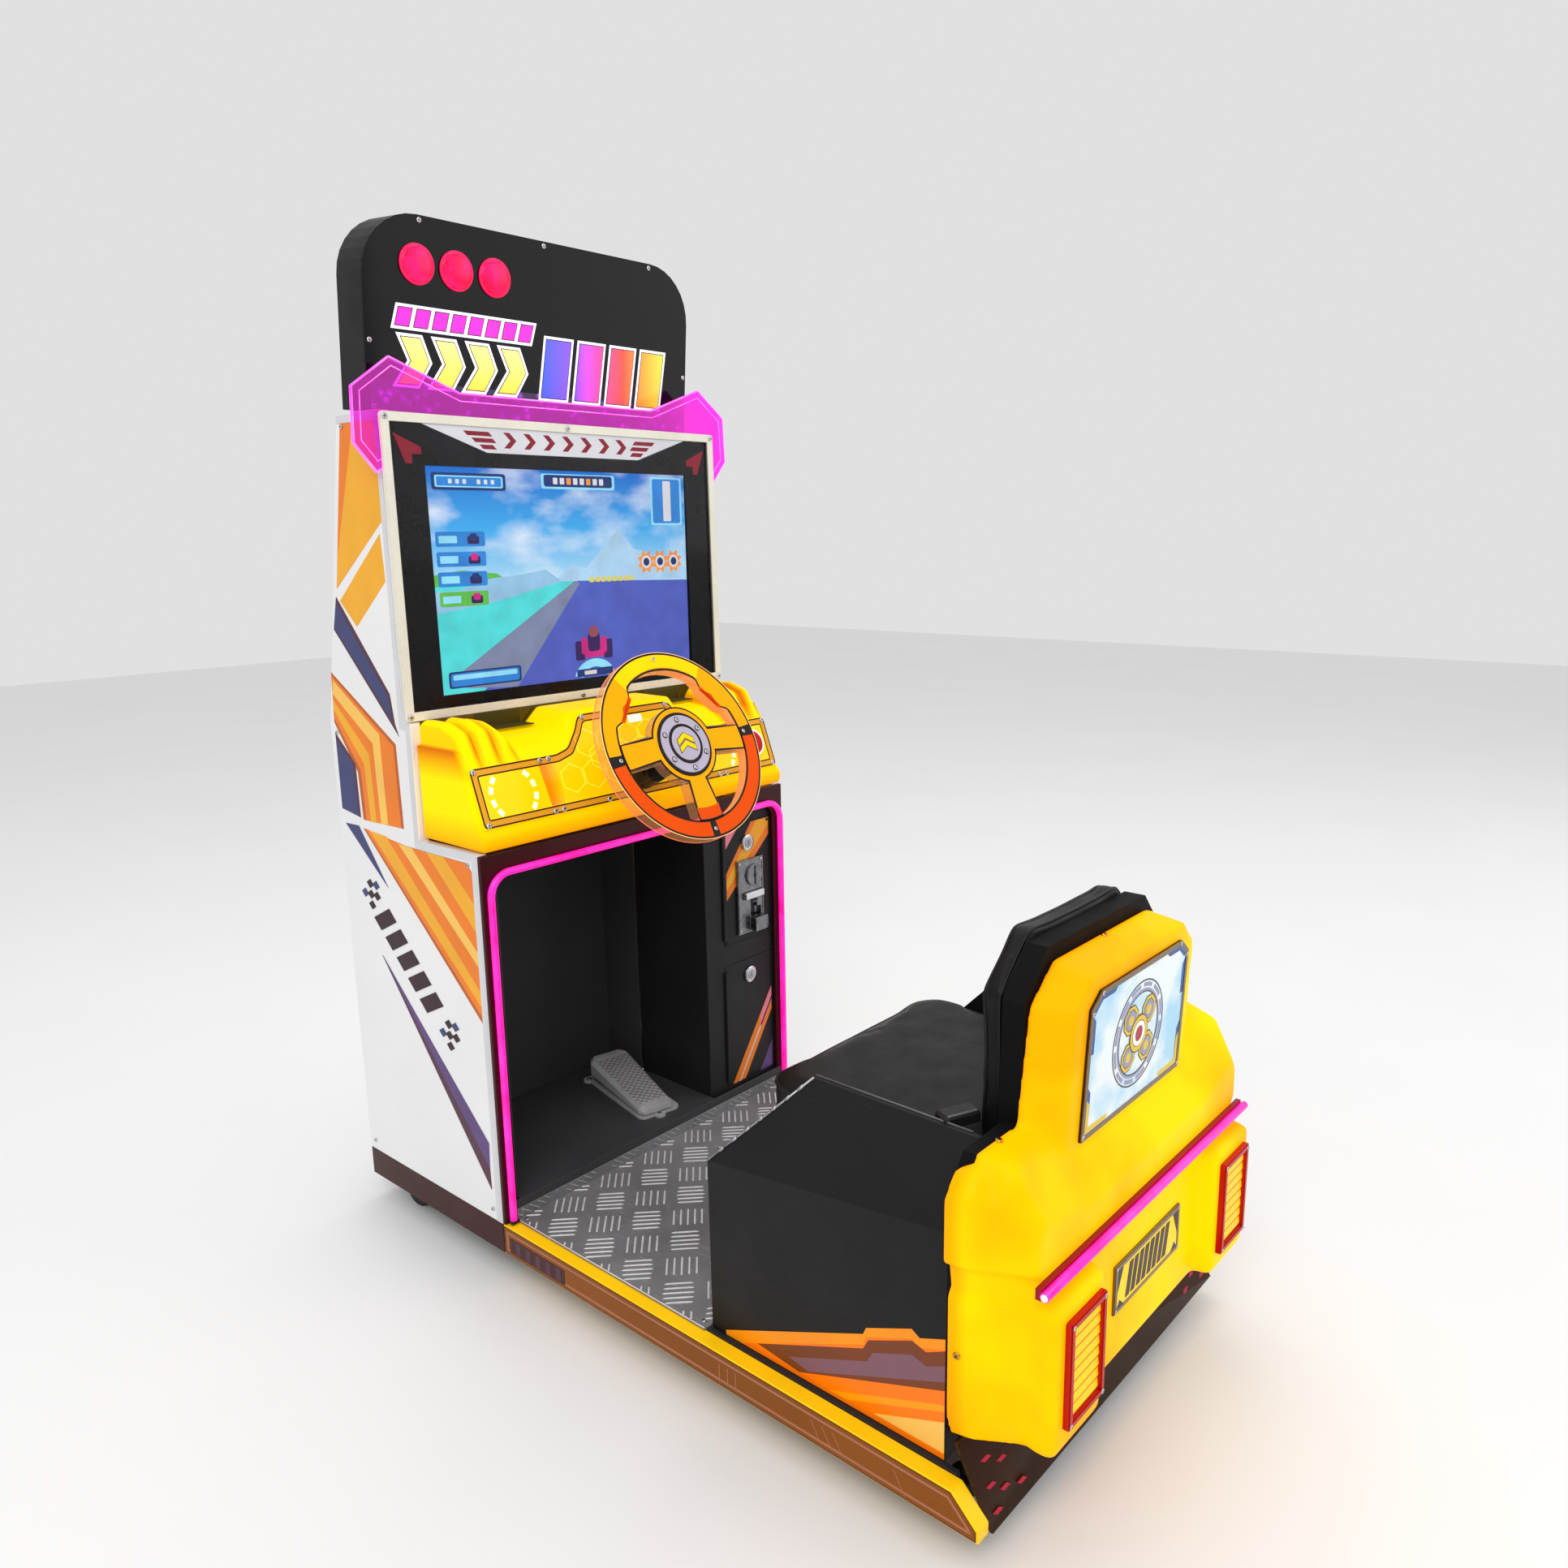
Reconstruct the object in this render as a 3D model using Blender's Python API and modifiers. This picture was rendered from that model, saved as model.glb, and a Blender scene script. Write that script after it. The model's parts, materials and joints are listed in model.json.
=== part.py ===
"""Sit-down racing cabinet: screen tower, platform and driver's seat.

Metres, +Z up. The player sits facing +Y, with +X on the player's right. The origin is on the
floor, at the middle of the bounding box. Each piece of the cabinet is one object.
"""

import math

import bmesh
import bpy
from mathutils import Matrix, Vector

NAME = "racing_cabinet"
GAP = 0.0003

# Tower
TOWER_HALF = 0.290
PANEL = 0.015
FRONT_Y = 0.236
REAR_Y = 0.576
REAR_BEND_Z = 0.748
TOWER_TOP_Z = 1.166
TOWER_TOP_REAR_Y = 0.485
SCREEN_EDGE_Y = 0.382
NOTCH_Y = 0.3675
NOTCH_Z = 0.603
SKIRT_LOW_Z = 0.0406
SKIRT_TOP_Z = 0.0834
SHEET = 0.003

# Screen window
BEZEL_HALF = 0.295
BEZEL_LOW_Z = 0.767
BEZEL_HEIGHT = 0.396
BEZEL_FRONT_Y = 0.365
BEZEL_LEAN = math.atan(0.005 / BEZEL_HEIGHT)
BEZEL_DEPTH = 0.006
BEZEL_BAR = 0.012

# Marquee
MARQUEE_HALF = 0.281
MARQUEE_HEIGHT = 0.2463
MARQUEE_DEPTH = 0.063
MARQUEE_LOW_Y = 0.421
MARQUEE_LOW_Z = 1.1675
MARQUEE_LEAN = math.atan(0.020 / 0.2455)
MARQUEE_RADIUS = 0.080
LAMP_X = (-0.204, -0.1445, -0.084)
LAMP_H = 0.186
LAMP_RADIUS = 0.0255

# Console
CONSOLE_HALF = 0.2847
DASH_LOW_Y = 0.2293
DASH_LOW_Z = 0.638
DASH_TILT = math.atan(0.0287 / 0.077)
DASH_SIDE_H = 0.081
DASH_HOOD_H = 0.131
HOOD_HALF = 0.095
BUTTON_X = 0.237
BUTTON_H = 0.042

# Steering
WHEEL_CENTRE = Vector((0.0, 0.149, 0.719))
WHEEL_TILT = math.radians(27.0)
WHEEL_RADIUS = 0.139
WHEEL_RIM_INNER = 0.112
WHEEL_GRIP_INNER = 0.099
WHEEL_HUB_RADIUS = 0.056
WHEEL_PLATE = 0.018
SHAFT_RADIUS = 0.0095

# Footwell, coin column and front frame
FRAME_BACK_Y = FRONT_Y - GAP
FRAME_DEPTH = 0.006
FRAME_OPEN_HALF = 0.268
FRAME_OPEN_TOP_Z = 0.572
FRAME_TOP_Z = 0.6045
NEON_HALF = 0.280
NEON_RADIUS = 0.005
NEON_TOP_Z = 0.5785
NEON_LOW_Z = 0.0890
FOOTWELL_BACK_Y = 0.482
FOOTWELL_LEFT_X = -0.262
COLUMN_LEFT_X = 0.1153
COLUMN_RIGHT_X = 0.2742
COLUMN_FRONT_Y = 0.2367
COLUMN_REAR_Y = 0.400
DOOR_LEFT_X = 0.1551
DOOR_RIGHT_X = 0.2659
COIN_DOOR_Z = (0.3573, 0.5547)
CASH_DOOR_Z = (0.1155, 0.3247)
DOOR_SHEET = 0.0025
DOOR_HINGE = (DOOR_LEFT_X - 0.0005, 0.2343)
LOCK_X = 0.212

# Platform
PLATE_TOP_Z = 0.0875
PLATE_HALF = 0.2735
PLATE_FRONT_Y = -0.1385
SHELF_TOP_Z = 0.1147
SHELF_LIP_Y = 0.2260
RAIL_INNER_X = 0.2702
RAIL_TOP_Z = 0.084
RAIL_FRONT_Y = 0.2355
RAIL_BEND_Y = -0.497
RAIL_REAR_Y = -0.528

# Seat
SEAT_HALF = 0.263
SEAT_FRONT_Y = -0.141
SEAT_REAR_Y = -0.471
SEAT_LOW_Z = 0.0845
SEAT_DECK_Z = 0.300
SEAT_WALL = 0.004
ARM_TOP_Z = 0.4105
ARM_TOP_X = 0.197
CUSHION_TOP_Z = 0.377
BACK_FRONT_Y = -0.432
BACK_SEAM_Y = -0.4622
BOARD_FRONT_Y = -0.4715
BOARD_REAR_Y = -0.4875
SHELL_RIM_Y = -0.4880
SHELL_REAR_Y = -0.558
HEAD_REAR_LOW_Y = -0.530
HEAD_REAR_TOP_Y = -0.538
HEAD_LOW_Z = 0.394
HEAD_TOP_Z = 0.572
HEAD_LEAN = (HEAD_REAR_TOP_Y - HEAD_REAR_LOW_Y) / (HEAD_TOP_Z - HEAD_LOW_Z)
POD_REAR_Y = -0.579
SHELL_WALL = 0.005
SHELL_LOW_Z = 0.122

# Wheels and feet
CASTER_X = 0.255
CASTER_Y = 0.499
CASTER_RADIUS = 0.030
FOOT_X = 0.190
FOOT_Y = -0.4515
BEAM_LOW_Z = 0.0650
FRAME_HALF = 0.2585


def clear_scene():
    for obj in list(bpy.data.objects):
        bpy.data.objects.remove(obj)


def new_collection(name):
    collection = bpy.data.collections.new(name)
    bpy.context.scene.collection.children.link(collection)
    return collection


clear_scene()
PARTS = new_collection(NAME)
CUTTERS = new_collection("cutters")
CUTTERS.hide_render = True


def material(name, colour, roughness=0.5, metallic=0.0):
    found = bpy.data.materials.get(name)
    if found:
        return found
    made = bpy.data.materials.new(name)
    made.use_nodes = True
    shader = made.node_tree.nodes["Principled BSDF"]
    shader.inputs["Base Color"].default_value = (*colour, 1.0)
    shader.inputs["Roughness"].default_value = roughness
    shader.inputs["Metallic"].default_value = metallic
    return made


def white_board():
    return material("white_board", (0.85, 0.85, 0.85), 0.4)


def maroon_paint():
    return material("maroon_paint", (0.09, 0.015, 0.02), 0.4)


def black_sheet():
    return material("black_sheet", (0.05, 0.05, 0.05), 0.5)


def black_plastic():
    return material("black_plastic", (0.03, 0.03, 0.03), 0.4)


def black_leather():
    return material("black_leather", (0.04, 0.04, 0.04), 0.5)


def yellow_shell():
    return material("yellow_shell", (0.95, 0.62, 0.02), 0.35)


def yellow_acrylic():
    return material("yellow_acrylic", (0.95, 0.65, 0.05), 0.1)


def pink_acrylic():
    return material("pink_acrylic", (0.9, 0.2, 0.75), 0.1)


def red_lens():
    return material("red_lens", (0.8, 0.02, 0.05), 0.2)


def tinted_glass():
    return material("tinted_glass", (0.05, 0.05, 0.06), 0.05)


def checker_aluminium():
    return material("checker_aluminium", (0.65, 0.65, 0.65), 0.35, 1.0)


def chrome():
    return material("chrome", (0.7, 0.7, 0.7), 0.15, 1.0)


def bare_steel():
    return material("bare_steel", (0.5, 0.5, 0.5), 0.35, 1.0)


def grey_casting():
    return material("grey_casting", (0.35, 0.35, 0.35), 0.5, 0.2)


def black_rubber():
    return material("black_rubber", (0.02, 0.02, 0.02), 0.8)


def add_object(name, mesh, finish):
    """finish is a material, or None for a helper solid that only shapes another."""
    obj = bpy.data.objects.new(name, mesh)
    if finish is None:
        CUTTERS.objects.link(obj)
        obj.hide_render = True
        obj.display_type = "WIRE"
    else:
        PARTS.objects.link(obj)
        mesh.materials.append(finish)
    return obj


def mesh_from(bm, name):
    mesh = bpy.data.meshes.new(name)
    bmesh.ops.recalc_face_normals(bm, faces=bm.faces)
    bm.to_mesh(mesh)
    bm.free()
    return mesh


def add_bevel(obj, width, segments=2, angle=30.0):
    bevel = obj.modifiers.new("Bevel", "BEVEL")
    bevel.width = width
    bevel.segments = segments
    bevel.limit_method = "ANGLE"
    bevel.angle_limit = math.radians(angle)
    return obj


def box(name, low, high, finish=None, bevel=0.0, segments=2, place=None):
    """A box between two corners, in the frame place if one is given."""
    bm = bmesh.new()
    bmesh.ops.create_cube(bm, size=1.0)
    size = Vector(high) - Vector(low)
    middle = (Vector(high) + Vector(low)) / 2
    bmesh.ops.scale(bm, vec=size, verts=bm.verts)
    bmesh.ops.translate(bm, vec=middle, verts=bm.verts)
    if place:
        bmesh.ops.transform(bm, matrix=place, verts=bm.verts)
    obj = add_object(name, mesh_from(bm, name), finish)
    if bevel:
        add_bevel(obj, bevel, segments)
    return obj


def cone(name, place, low, high, radius_low, radius_high, finish=None, sides=32):
    """A truncated cone along the local Z axis of place, from height low to height high."""
    bm = bmesh.new()
    bmesh.ops.create_cone(
        bm, cap_ends=True, segments=sides, radius1=radius_low, radius2=radius_high, depth=high - low
    )
    bmesh.ops.translate(bm, vec=(0.0, 0.0, (low + high) / 2), verts=bm.verts)
    bmesh.ops.transform(bm, matrix=place, verts=bm.verts)
    obj = add_object(name, mesh_from(bm, name), finish)
    shade_round(obj)
    return obj


def cylinder(name, place, low, high, radius, finish=None, sides=32):
    return cone(name, place, low, high, radius, radius, finish, sides)


def shade_round(obj):
    obj.data.shade_smooth()
    obj.data.set_sharp_from_angle(angle=math.radians(35.0))


def axes(origin, x_axis, y_axis):
    """The frame at origin with these two axes, and Z square to both."""
    x_axis = Vector(x_axis).normalized()
    y_axis = Vector(y_axis).normalized()
    z_axis = x_axis.cross(y_axis)
    turn = Matrix((x_axis, y_axis, z_axis)).transposed()
    return Matrix.Translation(Vector(origin)) @ turn.to_4x4()


def side_frame(x):
    """Local X and Y are world Y and Z; local Z is world X."""
    return axes((x, 0, 0), (0, 1, 0), (0, 0, 1))


def front_frame_at(y):
    """Local X and Y are world X and Z; local Z points to the player."""
    return axes((0, y, 0), (1, 0, 0), (0, 0, 1))


def outline(name, loops, low, high, finish=None, place=None, bevel=0.0):
    """A flat outline, with holes, extruded along local Z from low to high."""
    curve = bpy.data.curves.new(name, "CURVE")
    curve.dimensions = "2D"
    curve.fill_mode = "BOTH"
    curve.extrude = (high - low) / 2
    for loop in loops:
        spline = curve.splines.new("POLY")
        spline.points.add(len(loop) - 1)
        for point, (x, y) in zip(spline.points, loop):
            point.co = (x, y, 0.0, 1.0)
        spline.use_cyclic_u = True
    guide = bpy.data.objects.new(name, curve)
    CUTTERS.objects.link(guide)
    mesh = welded_mesh(guide, name)
    shift = Matrix.Translation((0, 0, (low + high) / 2))
    mesh.transform((place or Matrix()) @ shift)
    obj = add_object(name, mesh, finish)
    if bevel:
        add_bevel(obj, bevel)
    return obj


def welded_mesh(guide, name):
    """The closed mesh of a curve object, which is then removed."""
    bpy.context.view_layer.update()
    graph = bpy.context.evaluated_depsgraph_get()
    mesh = bpy.data.meshes.new_from_object(guide.evaluated_get(graph))
    mesh.name = name
    bpy.data.objects.remove(guide)
    bm = bmesh.new()
    bm.from_mesh(mesh)
    bmesh.ops.remove_doubles(bm, verts=bm.verts, dist=1e-5)
    bmesh.ops.dissolve_degenerate(bm, edges=bm.edges, dist=1e-6)
    bmesh.ops.recalc_face_normals(bm, faces=bm.faces)
    bm.to_mesh(mesh)
    bm.free()
    return mesh


def tube(name, points, radius, finish, resolution=2):
    """A round bar along a chain of points."""
    curve = bpy.data.curves.new(name, "CURVE")
    curve.dimensions = "3D"
    curve.bevel_depth = radius
    curve.bevel_resolution = resolution
    curve.use_fill_caps = True
    spline = curve.splines.new("POLY")
    spline.points.add(len(points) - 1)
    for point, place in zip(spline.points, points):
        point.co = (*place, 1.0)
    guide = bpy.data.objects.new(name, curve)
    CUTTERS.objects.link(guide)
    obj = add_object(name, welded_mesh(guide, name), finish)
    shade_round(obj)
    return obj


def loft(name, sections, finish=None):
    """Skins a chain of closed sections with the same number of points, and caps both ends."""
    bm = bmesh.new()
    rings = [[bm.verts.new(point) for point in section] for section in sections]
    count = len(rings[0])
    for near, far in zip(rings, rings[1:]):
        for i in range(count):
            j = (i + 1) % count
            bm.faces.new((near[i], near[j], far[j], far[i]))
    bm.faces.new(rings[0])
    bm.faces.new(rings[-1])
    bmesh.ops.triangulate(bm, faces=bm.faces)
    return add_object(name, mesh_from(bm, name), finish)


def boolean(target, operation, tools):
    for tool in tools:
        modifier = target.modifiers.new(operation.title(), "BOOLEAN")
        modifier.operation = operation
        modifier.object = tool
    return target


def join(target, *tools):
    return boolean(target, "UNION", tools)


def cut(target, *tools):
    return boolean(target, "DIFFERENCE", tools)


def arc(centre, radius, start, stop, steps):
    """Points on an arc, with the angles in degrees."""
    points = []
    for i in range(steps + 1):
        angle = math.radians(start + (stop - start) * i / steps)
        points.append((centre[0] + radius * math.cos(angle), centre[1] + radius * math.sin(angle)))
    return points


def rectangle(low, high, radius=0.0, steps=4):
    """A rectangle, with round corners if a radius is given."""
    if not radius:
        return [(low[0], low[1]), (high[0], low[1]), (high[0], high[1]), (low[0], high[1])]
    corners = (
        (high[0] - radius, low[1] + radius, -90),
        (high[0] - radius, high[1] - radius, 0),
        (low[0] + radius, high[1] - radius, 90),
        (low[0] + radius, low[1] + radius, 180),
    )
    points = []
    for x, y, start in corners:
        points += arc((x, y), radius, start, start + 90, steps)
    return points


def mirrored(half):
    """A closed symmetric outline from its right half, listed from the bottom to the top."""
    left = [(-x, y) for x, y in reversed(half) if x > 1e-6]
    return half + left


def pivot(name, place, pieces):
    """An empty on a joint's axis that carries the moving pieces."""
    empty = bpy.data.objects.new(name, None)
    empty.matrix_world = place
    PARTS.objects.link(empty)
    for piece in pieces:
        piece.parent = empty
        piece.matrix_parent_inverse = place.inverted()
    return empty


def upright(x, y, z=0.0):
    return Matrix.Translation((x, y, z))


def facing(x, y, z):
    """Local Z points to the player, along -Y."""
    return axes((x, y, z), (1, 0, 0), (0, 0, 1))


def sideways(x, y, z):
    """Local Z points along +X."""
    return axes((x, y, z), (0, 1, 0), (0, 0, 1))


# ---------------------------------------------------------------- tower

def side_outline():
    return [
        (FRONT_Y + GAP, SKIRT_TOP_Z + GAP),
        (REAR_Y, SKIRT_TOP_Z + GAP),
        (REAR_Y + 0.002, REAR_BEND_Z),
        (TOWER_TOP_REAR_Y, TOWER_TOP_Z),
        (SCREEN_EDGE_Y, TOWER_TOP_Z),
        (SCREEN_EDGE_Y, BEZEL_LOW_Z),
        (NOTCH_Y, BEZEL_LOW_Z - 0.002),
        (NOTCH_Y, NOTCH_Z),
        (FRONT_Y + GAP, NOTCH_Z + 0.0025),
    ]


def make_side_panels():
    inner = TOWER_HALF - PANEL
    outline("side_panel_left", [side_outline()], -TOWER_HALF, -inner, white_board(), side_frame(0))
    outline("side_panel_right", [side_outline()], inner, TOWER_HALF, white_board(), side_frame(0))


DOOR_REAR_Y = 0.5735
DOOR_HALF = 0.1985
DOOR_Z = (0.1515, 0.6985)
DOOR_MIDDLE_Z = (DOOR_Z[0] + DOOR_Z[1]) / 2
LOCK_REAR_Y = 0.5866
HINGE_X = -0.200
HINGE_Y = 0.5775
INNER_HALF = TOWER_HALF - PANEL - GAP


def make_back_panel():
    face = 0.574
    board = 0.012
    bend = [(face, SKIRT_TOP_Z + GAP), (face, REAR_BEND_Z), (0.482, 1.163), (0.3835, 1.163)]
    inside = [(0.3835, 1.151), (0.4725, 1.151), (face - board, 0.7467), (face - board, SKIRT_TOP_Z + GAP)]
    panel = outline("back_panel", [bend + inside], -INNER_HALF, INNER_HALF, white_board(), side_frame(0))
    doorway = box(
        "doorway",
        (-DOOR_HALF - 0.0015, face - 0.03, DOOR_Z[0] - 0.0015),
        (DOOR_HALF + 0.0015, face + 0.03, DOOR_Z[1] + 0.0015),
    )
    inlet_hole = box("inlet_hole", (0.1297, 0.54, 0.0957), (0.1703, 0.60, 0.1263))
    cut(panel, doorway, inlet_hole)


def make_service_door():
    low = (-DOOR_HALF, DOOR_REAR_Y - 0.010, DOOR_Z[0])
    high = (DOOR_HALF, DOOR_REAR_Y, DOOR_Z[1])
    door = box("service_door", low, high, black_sheet(), 0.0008, 1)
    low_z = DOOR_Z[0] + 0.03
    top_z = DOOR_Z[1] - 0.03
    barrel = cylinder("door_knuckle", upright(HINGE_X, HINGE_Y), low_z, top_z, 0.003, sides=12)
    leaf_low = (HINGE_X + 0.001, DOOR_REAR_Y - 0.001, low_z)
    leaf = box("door_leaf", leaf_low, (HINGE_X + 0.02, HINGE_Y - 0.001, top_z))
    outwards = axes((0.165, 0, DOOR_MIDDLE_Z), (-1, 0, 0), (0, 0, 1))
    lock = cylinder("door_lock", outwards, DOOR_REAR_Y - 0.002, LOCK_REAR_Y, 0.011, sides=24)
    join(door, leaf, barrel, lock)
    inset = 0.0085
    pocket_low = (-DOOR_HALF + inset, DOOR_REAR_Y - 0.020, DOOR_Z[0] + inset)
    cut(door, box("door_pocket", pocket_low, (DOOR_HALF - inset, DOOR_REAR_Y - 0.0020, DOOR_Z[1] - inset)))
    pivot("service_door_pivot", upright(HINGE_X, HINGE_Y, DOOR_MIDDLE_Z), [door])


def make_base_skirt():
    low = SKIRT_LOW_Z
    outer = TOWER_HALF
    inner = TOWER_HALF - 0.013
    front = FRONT_Y + GAP
    rear = REAR_Y
    loop = [
        (-outer, front), (-outer, rear), (outer, rear), (outer, front),
        (inner, front), (inner, rear - 0.013), (-inner, rear - 0.013), (-inner, front),
    ]
    outline("base_skirt", [loop], low, SKIRT_TOP_Z, maroon_paint())


def make_base_frame():
    """Welded square tubes under the tower, the platform and the seat, open at the cross tubes' ends."""
    low = BEAM_LOW_Z
    top = PLATE_TOP_Z - SHEET - GAP
    beam = 0.030
    beams_x = (-0.235, 0.205)
    end = SEAT_REAR_Y + SEAT_WALL + 0.0005
    wall = SHEET
    frame = box("base_frame", (beams_x[0], end, low), (beams_x[0] + beam, 0.5255, top), black_sheet())
    tools = [box("frame_right", (beams_x[1], end, low), (beams_x[1] + beam, 0.5255, top))]
    hollows = []
    for i, x in enumerate(beams_x):
        inside = ((x + wall, end + wall, low + wall), (x + beam - wall, 0.5255 - wall, top - wall))
        hollows.append(box(f"beam_hollow_{i}", *inside))
    for i, y in enumerate((end, -0.180, 0.185, CASTER_Y - beam / 2)):
        tools.append(box(f"frame_cross_{i}", (-FRAME_HALF, y, low), (FRAME_HALF, y + beam, top)))
        inside = ((-1.0, y + wall, low + wall), (1.0, y + beam - wall, top - wall))
        hollows.append(box(f"cross_hollow_{i}", *inside))
    join(frame, *tools)
    cut(frame, *hollows)


def make_power_inlet():
    inlet = box("power_inlet", (0.130, 0.556, 0.096), (0.170, 0.5795, 0.126), black_plastic())
    socket = box("inlet_socket", (0.137, 0.566, 0.101), (0.163, 0.60, 0.121))
    cut(inlet, socket)


def make_electronics():
    low = Vector((-0.150, 0.422, 0.820))
    high = Vector((0.150, 0.475, 1.020))
    wall = Vector((0.0015, 0.0015, 0.0015))
    case = box("game_computer", low, high, bare_steel())
    vent = box("cable_slot", (-0.060, 0.430, low.z - 0.01), (0.060, 0.465, low.z + 0.01))
    cut(case, box("case_inside", low + wall, high - wall), vent)
    place = axes((0.0, 0.470, 0.650), (1, 0, 0), (0, 0, 1))
    speaker = cone("speaker", place, 0.0, 0.030, 0.024, 0.050, black_plastic(), 24)
    magnet = cylinder("speaker_magnet", place, -0.022, 0.002, 0.026, sides=24)
    rim = cylinder("speaker_rim", place, 0.028, 0.033, 0.056, sides=24)
    join(speaker, magnet, rim)


# ---------------------------------------------------------------- screen

def bezel_place():
    up = (0.0, math.sin(BEZEL_LEAN), math.cos(BEZEL_LEAN))
    return axes((0.0, BEZEL_FRONT_Y, BEZEL_LOW_Z), (1, 0, 0), up)


def make_screen():
    place = bezel_place()
    outer = rectangle((-BEZEL_HALF, 0.0), (BEZEL_HALF, BEZEL_HEIGHT), 0.004, 2)
    window = (BEZEL_HALF - BEZEL_BAR, BEZEL_HEIGHT - BEZEL_BAR)
    inner = rectangle((-window[0], BEZEL_BAR), (window[0], window[1]))
    outline("bezel_frame", [outer, inner], -BEZEL_DEPTH, 0.0, white_board(), place)
    low = (-window[0] + GAP, BEZEL_BAR + GAP, -0.0045)
    high = (window[0] - GAP, window[1] - GAP, -0.0015)
    box("bezel_glass", low, high, tinted_glass(), place=place)
    box("lcd_monitor", (-0.250, 0.3775, 0.7825), (0.250, 0.415, 1.1100), black_plastic(), 0.002, 1)


def wing_outline():
    right = [
        (0.0, 1.1360), (0.2825, 1.1360), (0.2825, 1.0990), (0.3010, 1.0870), (0.3300, 1.1220),
        (0.3270, 1.1910), (0.2720, 1.2310), (0.1700, 1.1935), (0.0, 1.1935),
    ]
    return mirrored(right)


def make_wing():
    outline("marquee_wing", [wing_outline()], -0.3815, -0.3767, pink_acrylic(), front_frame_at(0.0))


# ---------------------------------------------------------------- marquee

def marquee_place():
    up = (0.0, -math.sin(MARQUEE_LEAN), math.cos(MARQUEE_LEAN))
    return axes((0.0, MARQUEE_LOW_Y, MARQUEE_LOW_Z), (1, 0, 0), up)


def marquee_loop(inset=0.0):
    half = MARQUEE_HALF - inset
    top = MARQUEE_HEIGHT - inset
    radius = MARQUEE_RADIUS - inset
    right = arc((half - radius, top - radius), radius, 0, 90, 8)
    return mirrored([(0.0, inset), (half, inset)] + right + [(0.0, top)])


def make_marquee():
    place = marquee_place()
    face = 0.003
    case = outline("marquee_box", [marquee_loop()], -MARQUEE_DEPTH, -face - GAP, black_sheet(), place)
    cut(case, outline("marquee_cavity", [marquee_loop(0.004)], -MARQUEE_DEPTH + 0.004, 0.0, None, place))
    outline("marquee_face", [marquee_loop()], -face, 0.0, tinted_glass(), place)
    for name, x in zip(("left", "middle", "right"), LAMP_X):
        spot = place @ Matrix.Translation((x, LAMP_H, 0.0))
        radius = LAMP_RADIUS
        lamp = cone(f"start_lamp_{name}", spot, GAP, 0.004, radius, radius * 0.985, red_lens(), 24)
        dome = cone(f"lamp_dome_{name}", spot, 0.003, 0.008, radius * 0.97, radius * 0.72, sides=24)
        join(lamp, dome)


# ---------------------------------------------------------------- console

def dash_place():
    """Local X across, Y up the instrument panel from its lower edge, Z out of it."""
    up = (0.0, math.sin(DASH_TILT), math.cos(DASH_TILT))
    return axes((0.0, DASH_LOW_Y, DASH_LOW_Z), (1, 0, 0), up)


def wheel_place():
    """Local X across, Y up the wheel's face, Z out of it to the player."""
    up = (0.0, math.sin(WHEEL_TILT), math.cos(WHEEL_TILT))
    return axes(WHEEL_CENTRE, (1, 0, 0), up)


def dash_point(height, depth=0.0):
    """(y, z) of a point up the instrument panel, depth behind its face."""
    y = DASH_LOW_Y + height * math.sin(DASH_TILT) + depth * math.cos(DASH_TILT)
    z = DASH_LOW_Z + height * math.cos(DASH_TILT) - depth * math.sin(DASH_TILT)
    return (y, z)


OVERLAY = 0.003


def console_profile(kind, inset):
    """(y, z) points of the console's cross-section, from its lower rear edge round the front."""
    back = OVERLAY + GAP + inset
    rear = SCREEN_EDGE_Y - 0.016 + (0.02 if inset else 0.0)
    lip = [(rear, 0.6075), (0.2285, 0.6075), (0.2235, 0.6140), (0.2240, 0.6270)]
    if inset:
        lip = [(rear, 0.6000), (0.2335, 0.6000), (0.2290, 0.6180), (0.2300, 0.6290)]
    heights = {"hood": DASH_HOOD_H, "basin": DASH_SIDE_H, "rib": DASH_SIDE_H}
    upper = {
        "hood": [(0.282, 0.7660), (0.320, 0.7662), (rear, 0.7662)],
        "basin": [(0.275, 0.7260), (0.300, 0.7380), (rear, 0.7460)],
        "rib": [(0.285, 0.7550), (0.315, 0.7655), (rear, 0.7655)],
    }
    over = [(y + inset * 0.3, z - inset) for y, z in upper[kind]]
    return lip + [dash_point(0.0, back), dash_point(heights[kind] - inset, back)] + over


def console_solid(name, inset, finish=None):
    """The moulding, lofted across the cabinet through its ribs, basins and central hood."""
    half = CONSOLE_HALF - inset
    stations = (
        (half, "rib"), (0.215 + inset, "rib"), (0.195 + inset, "basin"),
        (0.118 - inset, "basin"), (HOOD_HALF - inset, "hood"),
    )
    right = [[(x, y, z) for y, z in console_profile(kind, inset)] for x, kind in stations]
    left = [[(-x, y, z) for x, y, z in section] for section in reversed(right)]
    return loft(name, right + left, finish)


def make_console():
    shell = console_solid("console_shell", 0.0, yellow_shell())
    inside = console_solid("console_hollow", 0.004)
    cut(shell, inside, steering_hole("console_hole"), button_hole("console_button_hole"))


def steering_hole(name):
    return cylinder(name, wheel_place(), -0.200, -0.050, 0.0292, sides=32)


def button_place():
    return dash_place() @ Matrix.Translation((BUTTON_X, BUTTON_H, 0.0))


def button_hole(name):
    return cylinder(name, button_place(), -0.050, 0.050, 0.0145, sides=24)


def overlay_loop():
    curve = [(0.139, 0.081), (0.1175, 0.087), (0.098, 0.110), (0.088, 0.127), (0.0777, 0.131)]
    return mirrored([(0.0, 0.0), (0.279, 0.0), (0.279, DASH_SIDE_H)] + curve + [(0.0, DASH_HOOD_H)])


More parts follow.
